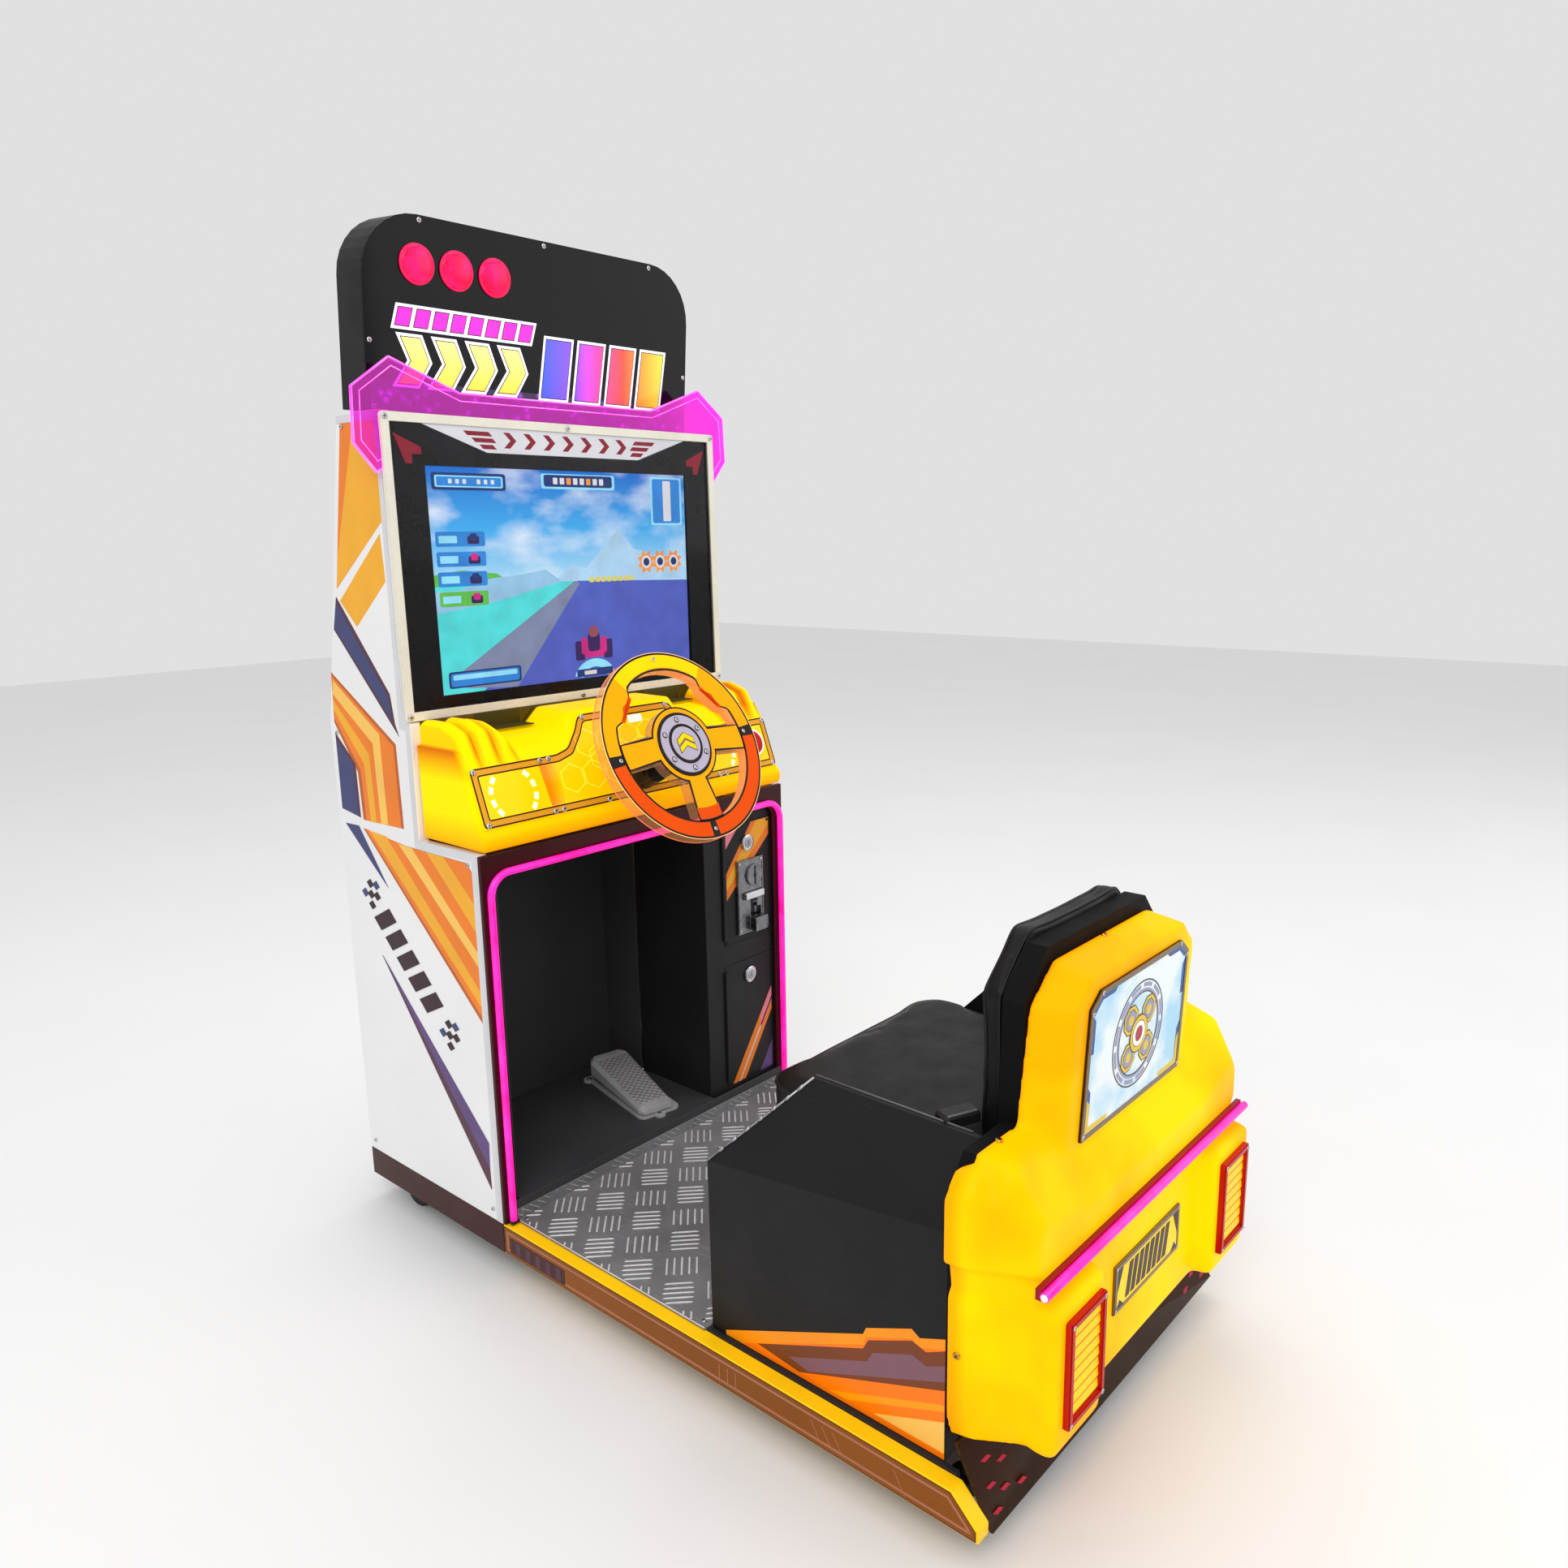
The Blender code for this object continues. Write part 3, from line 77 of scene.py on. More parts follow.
class Finish:
    """A Principled material whose colour, roughness and relief come from noise in object space."""

    def __init__(self, name, colour, rough=0.4, metal=0, **values):
        self.made = bpy.data.materials.new(name)
        self.made.use_nodes = True
        self.nodes = self.made.node_tree.nodes
        self.links = self.made.node_tree.links
        self.shader = self.nodes["Principled BSDF"]
        self.place = self.node("TexCoord", "Object")
        self.colour = colour
        self.rough = rough
        self.relief = None
        self.set(Base_Color=colour, Roughness=rough, Metallic=metal, **values)

    def feed(self, socket, value):
        if isinstance(value, bpy.types.NodeSocket):
            self.links.new(value, socket)
        else:
            socket.default_value = value

    def set(self, **values):
        for name, value in values.items():
            self.feed(self.shader.inputs[name.replace("_", " ")], value)
        return self

    def node(self, kind, out=0, **given):
        made = self.nodes.new("ShaderNode" + kind)
        for name, value in given.items():
            if name[0].islower():
                setattr(made, name, value)
            else:
                self.feed(made.inputs[name.replace("_", " ")], value)
        return made.outputs[out]

    def noise(self, scale, detail=3.0, stretch=(1, 1, 1), turn=(0, 0, 0)):
        at = self.node("Mapping", Vector=self.place, Scale=stretch, Rotation=turn)
        return self.node("TexNoise", Vector=at, Scale=scale, Detail=detail)

    def cells(self, scale, out="Distance", feature="F1"):
        at = self.node("Mapping", Vector=self.place)
        return self.node("TexVoronoi", out, feature=feature, Vector=at, Scale=scale)

    def level(self, value, start, stop, low=0.0, high=1.0):
        return self.node("MapRange", Value=value, From_Min=start, From_Max=stop, To_Min=low, To_Max=high)

    def along(self, axis, start, stop, low=0.0, high=1.0):
        """A value that runs from low to high between two places on one axis."""
        return self.level(self.node("SeparateXYZ", axis, Vector=self.place), start, stop, low, high)

    def calc(self, operation, first, second=None):
        made = self.node("Math", operation=operation).node
        self.feed(made.inputs[0], first)
        if second is not None:
            self.feed(made.inputs[1], second)
        return made.outputs[0]

    def mix(self, first, second, share, mode="MIX"):
        made = self.nodes.new("ShaderNodeMix")
        made.data_type = "RGBA"
        made.blend_type = mode
        self.feed(made.inputs[0], share)
        self.feed(made.inputs[6], first)
        self.feed(made.inputs[7], second)
        return made.outputs[2]

    def ramp(self, value, *stops):
        made = self.nodes.new("ShaderNodeValToRGB")
        elements = made.color_ramp.elements
        while len(elements) < len(stops):
            elements.new(0.5)
        for element, (place, colour) in zip(elements, stops):
            element.position = place
            element.color = colour
        self.feed(made.inputs[0], value)
        return made.outputs[0]

    def bump(self, height, depth, strength=1.0):
        made = {"Height": height, "Distance": depth, "Strength": strength}
        if self.relief:
            made["Normal"] = self.relief
        self.relief = self.node("Bump", **made)
        self.set(Normal=self.relief)
        return self

    def between(self, first, second, share):
        """The base colour runs from the first to the second as share goes from 0 to 1."""
        self.colour = self.mix(first, second, share)
        return self.set(Base_Color=self.colour)

    def tint(self, share, colour):
        """Mixes another colour in where share is high."""
        return self.between(self.colour, colour, share)

    def weather(self, vary=0.07, patch=9, grain=700, depth=0.00006, smudge=0.07):
        """Uneven tone, patchy gloss and a fine surface grain."""
        tone = self.level(self.noise(patch, 5), 0.3, 0.7, 1 - vary, 1 + vary)
        self.colour = self.mix(self.colour, tone, 1.0, "MULTIPLY")
        self.set(Base_Color=self.colour)
        low, high = max(self.rough - smudge, 0.02), self.rough + smudge
        self.set(Roughness=self.level(self.noise(patch * 3, 6), 0.3, 0.7, low, high))
        return self.bump(self.noise(grain, 2), depth) if depth else self

    def scratch(self, colour, scale=45, least=0.66, share=0.5, stretch=(1, 1, 16), turn=(0, 0, 0)):
        """Fine straight marks of another colour."""
        marks = self.level(self.noise(scale, 4, stretch, turn), least, least + 0.05, 0, share)
        return self.tint(marks, colour).bump(marks, -0.00004)

    def edges(self, colour, radius=0.0015, share=0.6):
        """Wear along sharp edges, where the rounded normal turns away from the face's own."""
        soft = self.node("Bevel", samples=4, Radius=radius)
        hard = self.node("NewGeometry", "Normal")
        made = self.nodes.new("ShaderNodeVectorMath")
        made.operation = "DOT_PRODUCT"
        self.feed(made.inputs[0], soft)
        self.feed(made.inputs[1], hard)
        bare = self.level(made.outputs["Value"], 0.99, 0.9, 0, share)
        chips = self.level(self.noise(160, 4), 0.42, 0.6)
        return self.tint(self.calc("MULTIPLY", bare, chips), colour)

    def glow(self, strength):
        """Light given off, in the finish's own colour."""
        return self.set(Emission_Color=self.colour, Emission_Strength=strength)

    def clear(self, tint, least=0.04, blend=0.35):
        """Lets what lies behind show through, with gloss that rises towards grazing angles."""
        through = self.node("BsdfTransparent", Color=tint)
        share = self.level(self.node("LayerWeight", "Fresnel", Blend=blend), 0, 1, least, 0.9)
        made = self.nodes.new("ShaderNodeMixShader")
        self.feed(made.inputs[0], share)
        self.feed(made.inputs[1], through)
        self.feed(made.inputs[2], self.shader.outputs[0])
        self.links.new(made.outputs[0], self.nodes["Material Output"].inputs["Surface"])
        return self


def plain(name, colour, rough=0.35, light=0.0, **values):
    """A printed or moulded colour: slight mottling, fine grain and, when light is given, a glow of its own;
    on parts that are no lamp that glow is painted light.
    """
    made = Finish(name, colour, rough, **{
        "Specular_IOR_Level": 0.25, **values
    }).weather(0.05, 14, 1100, 0.00002, 0.05)
    return made.glow(light) if light else made


WHITE_FILM = Finish("white_film", rgb(236, 236, 236), 0.32, Coat_Weight=0.25, Coat_Roughness=0.2)
WHITE_FILM.weather(0.025, 5, 420, 0.00003, 0.05).scratch(rgb(205, 205, 205), 30, 0.7, 0.3)
WHITE_COAT = Finish("white_powder_coat", rgb(232, 232, 231), 0.42)
WHITE_COAT.weather(0.03, 7, 900, 0.00012).edges(rgb(170, 170, 170), 0.001, 0.4)
CREAM_METAL = Finish("cream_metal", rgb(226, 222, 206), 0.3).weather(0.05, 20, 900, 0.00005)
CREAM_METAL.edges(rgb(150, 146, 130), 0.0008, 0.6)
MAROON = Finish("maroon_powder_coat", rgb(58, 10, 14), 0.34, Specular_IOR_Level=0.2)
MAROON.weather(0.14, 9, 800, 0.00008).edges(rgb(110, 64, 60), 0.0012, 0.3)
BLACK_SHEET = Finish("black_powder_coat", rgb(19, 19, 21), 0.46, Specular_IOR_Level=0.2)
BLACK_SHEET.weather(0.16, 6, 650, 0.00016, 0.06).edges(rgb(80, 80, 82), 0.0012, 0.35)
BLACK_SHEET.scratch(rgb(52, 52, 54), 26, 0.7, 0.2)
# A lighter copy of the black sheet for the coin column and its doors: painted light against the footwell's
# shade.
DOOR_BLACK = Finish("black_door_sheet", rgb(31, 31, 33), 0.46, Specular_IOR_Level=0.2)
DOOR_BLACK.weather(0.16, 6, 650, 0.00016, 0.06).edges(rgb(80, 80, 82), 0.0012, 0.35)
LINER = Finish(
    "black_liner", rgb(60, 60, 62), 0.5, Specular_IOR_Level=0.2
).weather(0.14, 5, 650, 0.00014, 0.06)
BLACK_GLOSS = Finish(
    "black_gloss_acrylic", rgb(7, 5, 8), 0.08, Specular_IOR_Level=0.16
).weather(0.3, 7, 300, 0.000006, 0.02)
BLACK_PLASTIC = Finish(
    "black_moulded_plastic", rgb(18, 18, 20), 0.45, Specular_IOR_Level=0.25
).weather(0.12, 20, 1400, 0.00008)
RUBBER = Finish("black_rubber", rgb(22, 22, 22), 0.75).weather(0.2, 30, 900, 0.00015)
CHROME = Finish("worn_chrome", rgb(205, 205, 208), 0.16, 1).weather(0.1, 40, 1500, 0.00001, 0.06)
CHROME.scratch(rgb(120, 120, 122), 90, 0.62, 0.5)
CAST_CHROME = Finish("cast_chrome", rgb(124, 124, 127), 0.3, 1).weather(0.2, 90, 380, 0.0004, 0.1)
STEEL = Finish("zinc_plated_steel", rgb(165, 166, 170), 0.34, 1).weather(0.16, 30, 700, 0.00005, 0.1)
STEEL.scratch(rgb(205, 205, 208), 60, 0.64, 0.5)
CASTING = Finish("grey_casting", rgb(176, 176, 176), 0.5, 0.15).weather(0.12, 24, 520, 0.0005, 0.08)
CASTING.bump(CASTING.cells(520), 0.0003, 0.6).edges(rgb(190, 190, 190), 0.0012, 0.5)
TREAD = Finish("tread_aluminium", rgb(124, 124, 126), 0.5, 0.2).weather(0.26, 7, 900, 0.00005, 0.12)
TREAD.scratch(rgb(190, 190, 190), 34, 0.62, 0.25, (9, 1, 1), (0, 0, 0.7))
TREAD.scratch(rgb(92, 91, 89), 46, 0.62, 0.3, (1, 12, 1), (0, 0, -0.5))
# Painted highlights: the bars' tops and the plate's side edges are a lighter grey than the plate, and the
# bars on the turned-up edge a dimmer one.
BAR_HIGHLIGHT = Finish("tread_bar_painted_highlight", rgb(216, 216, 216), 0.44, 0.1).weather(0.14, 60, 900, 0.00002, 0.08)
BAR_DIM_HIGHLIGHT = Finish("tread_bar_dim_painted_highlight", rgb(160, 160, 161), 0.46, 0.1).weather(0.14, 60, 900, 0.00002, 0.08)
VINYL = Finish(
    "black_vinyl", rgb(12, 12, 14), 0.45, Specular_IOR_Level=0.18, Sheen_Weight=0.02, Sheen_Roughness=0.4
)
VINYL.weather(0.14, 8, 90, 0.00012, 0.07).bump(
    VINYL.cells(620, "Distance", "DISTANCE_TO_EDGE"), 0.00022, 0.7
)
VINYL.bump(VINYL.noise(26, 4), 0.0006, 0.4)
BOARD_VINYL = Finish(
    "board_vinyl", rgb(13, 13, 15), 0.6, Specular_IOR_Level=0.08
).weather(0.14, 8, 90, 0.00012, 0.07)
BOARD_VINYL.bump(BOARD_VINYL.cells(620, "Distance", "DISTANCE_TO_EDGE"), 0.00022, 0.7)
# Painted highlight: a light grey line along the vinyl's edges.
VINYL_HIGHLIGHT = Finish("vinyl_painted_highlight", rgb(96, 96, 100), 0.3).weather(0.15, 40, 700, 0.00003)
PIPING = Finish(
    "vinyl_piping", rgb(15, 15, 17), 0.36, Specular_IOR_Level=0.25
).weather(0.12, 40, 800, 0.00008)


def yellow_moulding(name, dim, bright, share):
    """Yellow moulding whose colour runs from dim to bright as share goes from 0 to 1."""
    made = Finish(name, bright, 0.34, Specular_IOR_Level=0.03)
    made.between(dim, bright, share(made))
    made.bump(made.noise(26, 4), 0.0010, 0.2).bump(made.noise(900, 2), 0.00006)
    return made.set(Roughness=made.level(made.noise(30, 5), 0.3, 0.7, 0.28, 0.42))


SHELL = yellow_moulding(
    "yellow_shell_painted_glow", rgb(255, 164, 0), rgb(255, 204, 0), lambda m: m.level(m.noise(4.2, 3), 0.36, 0.6)
)
# Painted shade: towards the front rim beside the seat the shell is tinted darker orange. Its glow is painted
# light that brightens the yellow.
SHELL.tint(SHELL.along(1, -0.497, -0.484, 0, 0.6), rgb(252, 136, 0)).glow(0.35)
# Painted shade: the console runs from orange low down, under its roll, to bright yellow higher up.
CONSOLE = yellow_moulding(
    "yellow_console_painted_glow", rgb(255, 158, 0), rgb(255, 210, 0), lambda m: m.along(2, 0.606, 0.652)
)
# The rail's glow is painted light that brightens its yellow.
RAIL_YELLOW = plain("rail_yellow", rgb(255, 200, 14), 0.28, 0.12, Specular_IOR_Level=0.15)
RAIL_YELLOW.edges(rgb(190, 120, 20), 0.001, 0.5)
RAIL_PRINT = Finish("rail_brown_print", rgb(140, 76, 6), 0.24, Specular_IOR_Level=0.15)
RAIL_PRINT.weather(0.12, 4, 900, 0.00001, 0.04)
RAIL_LINE = plain("rail_line", rgb(172, 110, 80), 0.3)
RAIL_DARK = plain("rail_dark_block", rgb(62, 18, 20), 0.3)
GOLD_PANEL = Finish("brown_gold_panel", rgb(48, 22, 2), 0.24, Specular_IOR_Level=0.12)
GOLD_PANEL.weather(0.2, 5, 900, 0.00002, 0.05).edges(rgb(150, 110, 50), 0.001, 0.5)
AMBER = plain("print_amber", rgb(242, 172, 36))
AMBER_LIGHT = plain("print_amber_light", rgb(248, 196, 92))
ORANGE = plain("print_orange", rgb(238, 126, 28))
RUST = plain("print_rust", rgb(190, 92, 30))
NAVY = plain("print_navy", rgb(58, 64, 112))
PURPLE = plain("print_purple", rgb(92, 66, 122))
PLUM = plain("print_plum", rgb(84, 44, 62))
# The seat base's prints glow a little: painted light.
SEAT_GOLD = plain("seat_print_gold", rgb(250, 146, 8), 0.3, 0.05)
SEAT_ORANGE = plain("seat_print_orange", rgb(255, 122, 0), 0.3, 0.05)
SEAT_AMBER = plain("seat_print_amber", rgb(255, 156, 0), 0.3, 0.05)
BROWN_PRINT = plain("print_brown", rgb(120, 60, 28))
MAUVE = plain("print_mauve", rgb(128, 88, 100))
DARK_PRINT = plain("print_dark_maroon", rgb(46, 16, 30))
PALE_PRINT = plain("print_pale_grey", rgb(212, 212, 216))
PINK_PRINT = plain("print_pink", rgb(236, 130, 150))
# The red and white prints glow: painted light that brightens them, most of all behind the bezel's glass.
RED_PRINT = plain("print_dark_red", rgb(150, 16, 44), 0.2, 0.35)
WHITE_PRINT = plain("print_white", rgb(240, 240, 240), 0.2, 0.5)
BLACK_PRINT = plain("print_black", rgb(16, 12, 10), 0.25)
NEON = Finish("neon_tube", rgb(255, 70, 205), 0.35)
NEON.between(rgb(250, 0, 144), rgb(255, 40, 176), NEON.level(NEON.noise(30, 3), 0.3, 0.7)).glow(0.8)


# ------------------------------------------------ shapes

SIDES = (("left", -1), ("right", 1))


def placed(name, data):
    """A new object in the scene."""
    made = bpy.data.objects.new(name, data)
    bpy.context.scene.collection.objects.link(made)
    return made


def axes(origin, across, up, out=None):
    """A local frame: x across, y up and z out of a surface."""
    across, up = Vector(across).normalized(), Vector(up).normalized()
    out = across.cross(up) if out is None else Vector(out)
    made = Matrix((across, up, out)).transposed().to_4x4()
    made.translation = Vector(origin)
    return made


def offset(loop, distance):
    """The outline moved inwards by distance, with mitred corners."""
    pairs = list(zip(loop, loop[1:] + loop[:1]))
    turn = 1 if sum(a[0] * b[1] - b[0] * a[1] for a, b in pairs) > 0 else -1
    made = []
    for i, point in enumerate(loop):
        before = (Vector(point) - Vector(loop[i - 1])).normalized()
        after = (Vector(loop[(i + 1) % len(loop)]) - Vector(point)).normalized()
        first = Vector((-before.y, before.x)) * turn
        second = Vector((-after.y, after.x)) * turn
        both = first + second
        made.append(tuple(Vector(point) + both * (distance / max(both.dot(first), 0.25))))
    return made


def rounded(loop, radius, count=5):
    """The outline with each corner replaced by an arc-like curve."""
    made = []
    for i, point in enumerate(loop):
        here = Vector(point)
        back, ahead = Vector(loop[i - 1]) - here, Vector(loop[(i + 1) % len(loop)]) - here
        reach = min(radius, back.length * 0.45, ahead.length * 0.45)
        start, stop = here + back.normalized() * reach, here + ahead.normalized() * reach
        for k in range(count + 1):
            t = k / count
            made.append(tuple(start * (1 - t) ** 2 + here * 2 * t * (1 - t) + stop * t * t))
    return made


def mirrored(half):
    """A whole outline from its right half, which starts and ends on the middle line or beside it."""
    return list(half) + [(-x, y) for x, y in reversed(half) if abs(x) > 1e-6]


def sided(sign, loop):
    """The outline as given for sign 1, and its mirror image for sign -1."""
    return [(sign * x, y) for x, y in loop]


def rect(x0, y0, x1, y1):
    return [(x0, y0), (x1, y0), (x1, y1), (x0, y1)]


def slanted(x0, y0, x1, y1, lean):
    """A bar whose top is moved sideways by lean."""
    return [(x0, y0), (x1, y0), (x1 + lean, y1), (x0 + lean, y1)]


def circle(radius, count=32, centre=(0, 0), start=0, stop=360):
    whole = stop - start == 360
    steps = count if whole else count + 1
    angles = [math.radians(start + (stop - start) * k / count) for k in range(steps)]
    return [(centre[0] + radius * math.cos(a), centre[1] + radius * math.sin(a)) for a in angles]


def arc_band(inner, outer, start, stop, centre=(0, 0), count=24):
    return circle(outer, count, centre, start, stop) + circle(inner, count, centre, start, stop)[::-1]


class Pile:
    """Collects closed solids, each with its own finish, into one object."""

    def __init__(self, name, slot, body="cabinet"):
        self.name, self.slot, self.body = name, slot, body
        self.mesh = bmesh.new()
        self.finishes = []

    def add(self, points, faces, finish, place=None, smooth=False):
        if finish not in self.finishes:
            self.finishes.append(finish)
        place = place or Matrix()
        made = [self.mesh.verts.new(place @ Vector(p)) for p in points]
        for face in faces:
            new = self.mesh.faces.new([made[i] for i in face])
            new.material_index = self.finishes.index(finish)
            new.smooth = smooth

    def rings(self, rings, finish, place=None, smooth=False, closed=False):
        """A surface through rings of equal count, capped at both ends unless it closes on itself."""
        count, total = len(rings[0]), len(rings)
        faces = []
        for i in range(total if closed else total - 1):
            a, b = i * count, (i + 1) % total * count
            faces += [(a + k, a + (k + 1) % count, b + (k + 1) % count, b + k) for k in range(count)]
        if not closed:
            faces += [tuple(range(count))[::-1], tuple(range(count * (total - 1), count * total))]
        self.add([p for ring in rings for p in ring], faces, finish, place, smooth)

    def prism(self, loop, low, high, finish, place=None, chamfer=0.0):
        rings = [[(x, y, low) for x, y in loop], [(x, y, high - chamfer) for x, y in loop]]
        if chamfer:
            rings.append([(x, y, high) for x, y in offset(loop, chamfer)])
        self.rings(rings, finish, place)

    def frame(self, outer, inner, low, high, finish, place=None):
        turns = ((outer, low), (outer, high), (inner, high), (inner, low))
        walls = [[(x, y, z) for x, y in loop] for loop, z in turns]
        self.rings(walls, finish, place, closed=True)

    def line(self, loop, width, low, high, finish, place=None):
        self.frame(loop, offset(loop, width), low, high, finish, place)

    def box(self, low, high, finish, place=None):
        self.prism(rect(low[0], low[1], high[0], high[1]), low[2], high[2], finish, place)

    def lathe(self, profile, finish, place=None, count=28, centre=(0, 0), smooth=True):
        """Turns (radius, height) about local z. The profile runs from the bottom to the top."""
        rings = [[(*p, z) for p in circle(max(r, 1e-5), count, centre)] for r, z in profile]
        self.rings(rings, finish, place, smooth)

    def tube(self, path, radius, finish, count=10, closed=False, place=None):
        path = [Vector(p) for p in path]
        rings, side = [], None
        for i, point in enumerate(path):
            ahead = path[(i + 1) % len(path)] if closed or i + 1 < len(path) else point
            behind = path[i - 1] if closed or i else point
            along = (ahead - behind).normalized()
            side = side or along.orthogonal()
            side = (side - along * side.dot(along)).normalized()
            over = along.cross(side)
            rings.append([tuple(point + (side * x + over * y)) for x, y in circle(radius, count)])
        self.rings(rings, finish, place, True, closed)

    def screw(self, x, y, high, place, radius=0.0034, finish=None):
        """A domed screw head with a cross in it."""
        rise = radius * 0.5
        shape = ((1, 0), (1, 0.4), (0.8, 0.8), (0.4, 1), (0, 1))
        profile = [(radius * out, high + rise * up) for out, up in shape]
        self.lathe(profile, finish or CHROME, place, 14, (x, y))
        for across, tall in ((0.5, 0.12), (0.12, 0.5)):
            loop = rect(x - radius * across, y - radius * tall, x + radius * across, y + radius * tall)
            self.prism(loop, high + rise * 0.7, high + rise * 1.04, BLACK_PLASTIC, place)

    def done(self, *replaced, bevel=0.0, segments=2):
        bmesh.ops.recalc_face_normals(self.mesh, faces=self.mesh.faces[:])
        data = bpy.data.meshes.new(self.name)
        self.mesh.to_mesh(data)
        self.mesh.free()
        for finish in self.finishes:
            data.materials.append(finish.made)
        made = placed(self.name, data)
        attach(made, self.body)
        if replaced:
            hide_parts(*replaced)
        if bevel:
            bevelled(made, bevel, segments)
        return made


def bevelled(made, width, segments=2):
    rim = made.modifiers.new("edges", "BEVEL")
    rim.width, rim.segments = width, segments
    rim.limit_method, rim.angle_limit = "ANGLE", math.radians(32)
    rim.use_clamp_overlap = True
    return made


def dress(finish, *names, bevel=0.0008, segments=2):
    """Gives CAD nodes a finish and eases their edges."""
    for name in names:
        node = NODES[name]
        node.data.materials.clear()
        node.data.materials.append(finish.made)
        weld = node.modifiers.new("weld", "WELD")
        weld.merge_threshold = 1e-5
        if bevel:
            bevelled(node, bevel, segments)


def apply_all(made):
    bpy.context.view_layer.update()
    graph = bpy.context.evaluated_depsgraph_get()
    data = bpy.data.meshes.new_from_object(made.evaluated_get(graph))
    made.modifiers.clear()
    made.data = data


def copied(node, name, voxel):
    """A new object with a CAD node's shape, rebuilt in small even squares."""
    data = NODES[node].data.copy()
    data.materials.clear()
    made = placed(name, data)
    weld = made.modifiers.new("weld", "WELD")
    weld.merge_threshold = 1e-5
    squares = made.modifiers.new("squares", "REMESH")
    squares.mode, squares.voxel_size = "VOXEL", voxel
    apply_all(made)
    return made


def settle(made, finish, node):
    """Gives a piece made from a CAD node its finish, and puts it in the node's place."""
    made.data.materials.clear()
    made.data.materials.append(finish.made)
    for face in made.data.polygons:
        face.use_smooth = True
    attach(made, "cabinet")
    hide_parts(node)
    return made


def ramped(value, start, stop):
    """0 to 1 as the value goes from start to stop, and level beyond them."""
    return min(1.0, max(0.0, (value - start) / (stop - start)))


def moulded(node, name, finish, voxel, rounds):
    """A CAD node's shape with its corners rounded as in a moulding."""
    made = copied(node, name, voxel)
    smooth = made.modifiers.new("smooth", "SMOOTH")
    smooth.factor, smooth.iterations = 0.5, rounds
    apply_all(made)
    return settle(made, finish, node)


# ------------------------------------------------ finishes of the CAD parts

dress(WHITE_FILM, "side_panel_left", "side_panel_right", bevel=0.001)
dress(WHITE_COAT, "back_panel", "service_door")
dress(MAROON, "front_frame", "base_skirt", "base_frame", bevel=0.0012)
dress(LINER, "footwell_liner", "footwell_shelf")
dress(DOOR_BLACK, "coin_column", "coin_door", "cash_door")
dress(BLACK_SHEET, "seat_base")
dress(BLACK_SHEET, "marquee_box", bevel=0.002)
dress(BLACK_GLOSS, "marquee_face", bevel=0.0005)
dress(CREAM_METAL, "bezel_frame", bevel=0.0006)
dress(BLACK_PLASTIC, "lcd_monitor", "speaker", "game_computer", "cash_box", "power_inlet")
dress(BLACK_PLASTIC, "steering_housing", bevel=0.0015)
dress(STEEL, "steering_shaft", "caster_bracket_left", "caster_bracket_right")
dress(RUBBER, "caster_wheel_left", "caster_wheel_right", "foot_left", "foot_right", bevel=0.0012)
dress(CASTING, "pedal_base", "pedal_treadle", bevel=0.0022, segments=3)
dress(TREAD, "checker_plate", bevel=0.0006)
dress(RAIL_YELLOW, "side_rail_left", "side_rail_right", bevel=0.001)
dress(GOLD_PANEL, "rear_base_panel", bevel=0.0012)
dress(CHROME, "coin_door_lock", "cash_door_lock", bevel=0.0005)
dress(CHROME, "coin_reject_button", "start_button_ring", bevel=0.0006)
dress(CAST_CHROME, "coin_selector", bevel=0.0008)
dress(BOARD_VINYL, "backrest_board", bevel=0.004, segments=4)

# The clear acrylic's glow is painted light that lightens the wheel's edges.
CLEAR = Finish("clear_acrylic", rgb(255, 206, 150), 0.05)
CLEAR.bump(CLEAR.noise(18, 3), 0.0002, 0.2).glow(0.08).clear(rgb(255, 242, 226), 0.07, 0.3)
dress(CLEAR, "steering_wheel", bevel=0.0012)
GLASS = Finish("screen_glass", rgb(20, 20, 24), 0.03)
GLASS.weather(0.1, 5, 40, 0.000004, 0.01).clear(rgb(250, 250, 252), 0.02, 0.25)
dress(GLASS, "bezel_glass", bevel=0)

# ------------------------------------------------ yellow mouldings, with painted glow and shade

shell = moulded("rear_shell", "rear_shell_moulding", SHELL, 0.0035, 16)
WALL_REACH, SHOULDER_SPREAD = 0.0125, 0.0032
SHOULDER_LOW, SHOULDER_HIGH, GROOVE_TOP = 0.290, 0.414, 0.318
for vertex in shell.data.vertices:
    x, y, z = vertex.co
    apart = abs(x)
    # The side walls reach forward over the edge of the seat's base.
    reach = max(ramped(apart, 0.2635, 0.2675), ramped(z, SHOULDER_HIGH, SHOULDER_HIGH - 0.008))
    vertex.co.y += WALL_REACH * reach * ramped(y, -0.500, -0.492)
    if SHOULDER_LOW < z < SHOULDER_HIGH and apart > 0.18:
        rise = ramped(z, SHOULDER_LOW, SHOULDER_LOW + 0.02)
        fall = ramped(z, SHOULDER_HIGH, SHOULDER_HIGH - 0.01)
        spread = SHOULDER_SPREAD * ramped(y, -0.512, -0.500) * min(rise, fall, ramped(apart, 0.18, 0.20))
        vertex.co.x += math.copysign(spread, x)
        vertex.co.z += spread
    # Below the shoulders the walls step in, most just under the step.
    if apart > 0.225 and z < GROOVE_TOP:
        groove = 0.0050 + 0.0055 * ramped(z, 0.280, 0.288)
        depth = groove * ramped(z, GROOVE_TOP, GROOVE_TOP - 0.008) * ramped(apart, 0.225, 0.245)
        vertex.co.x -= math.copysign(depth, x)

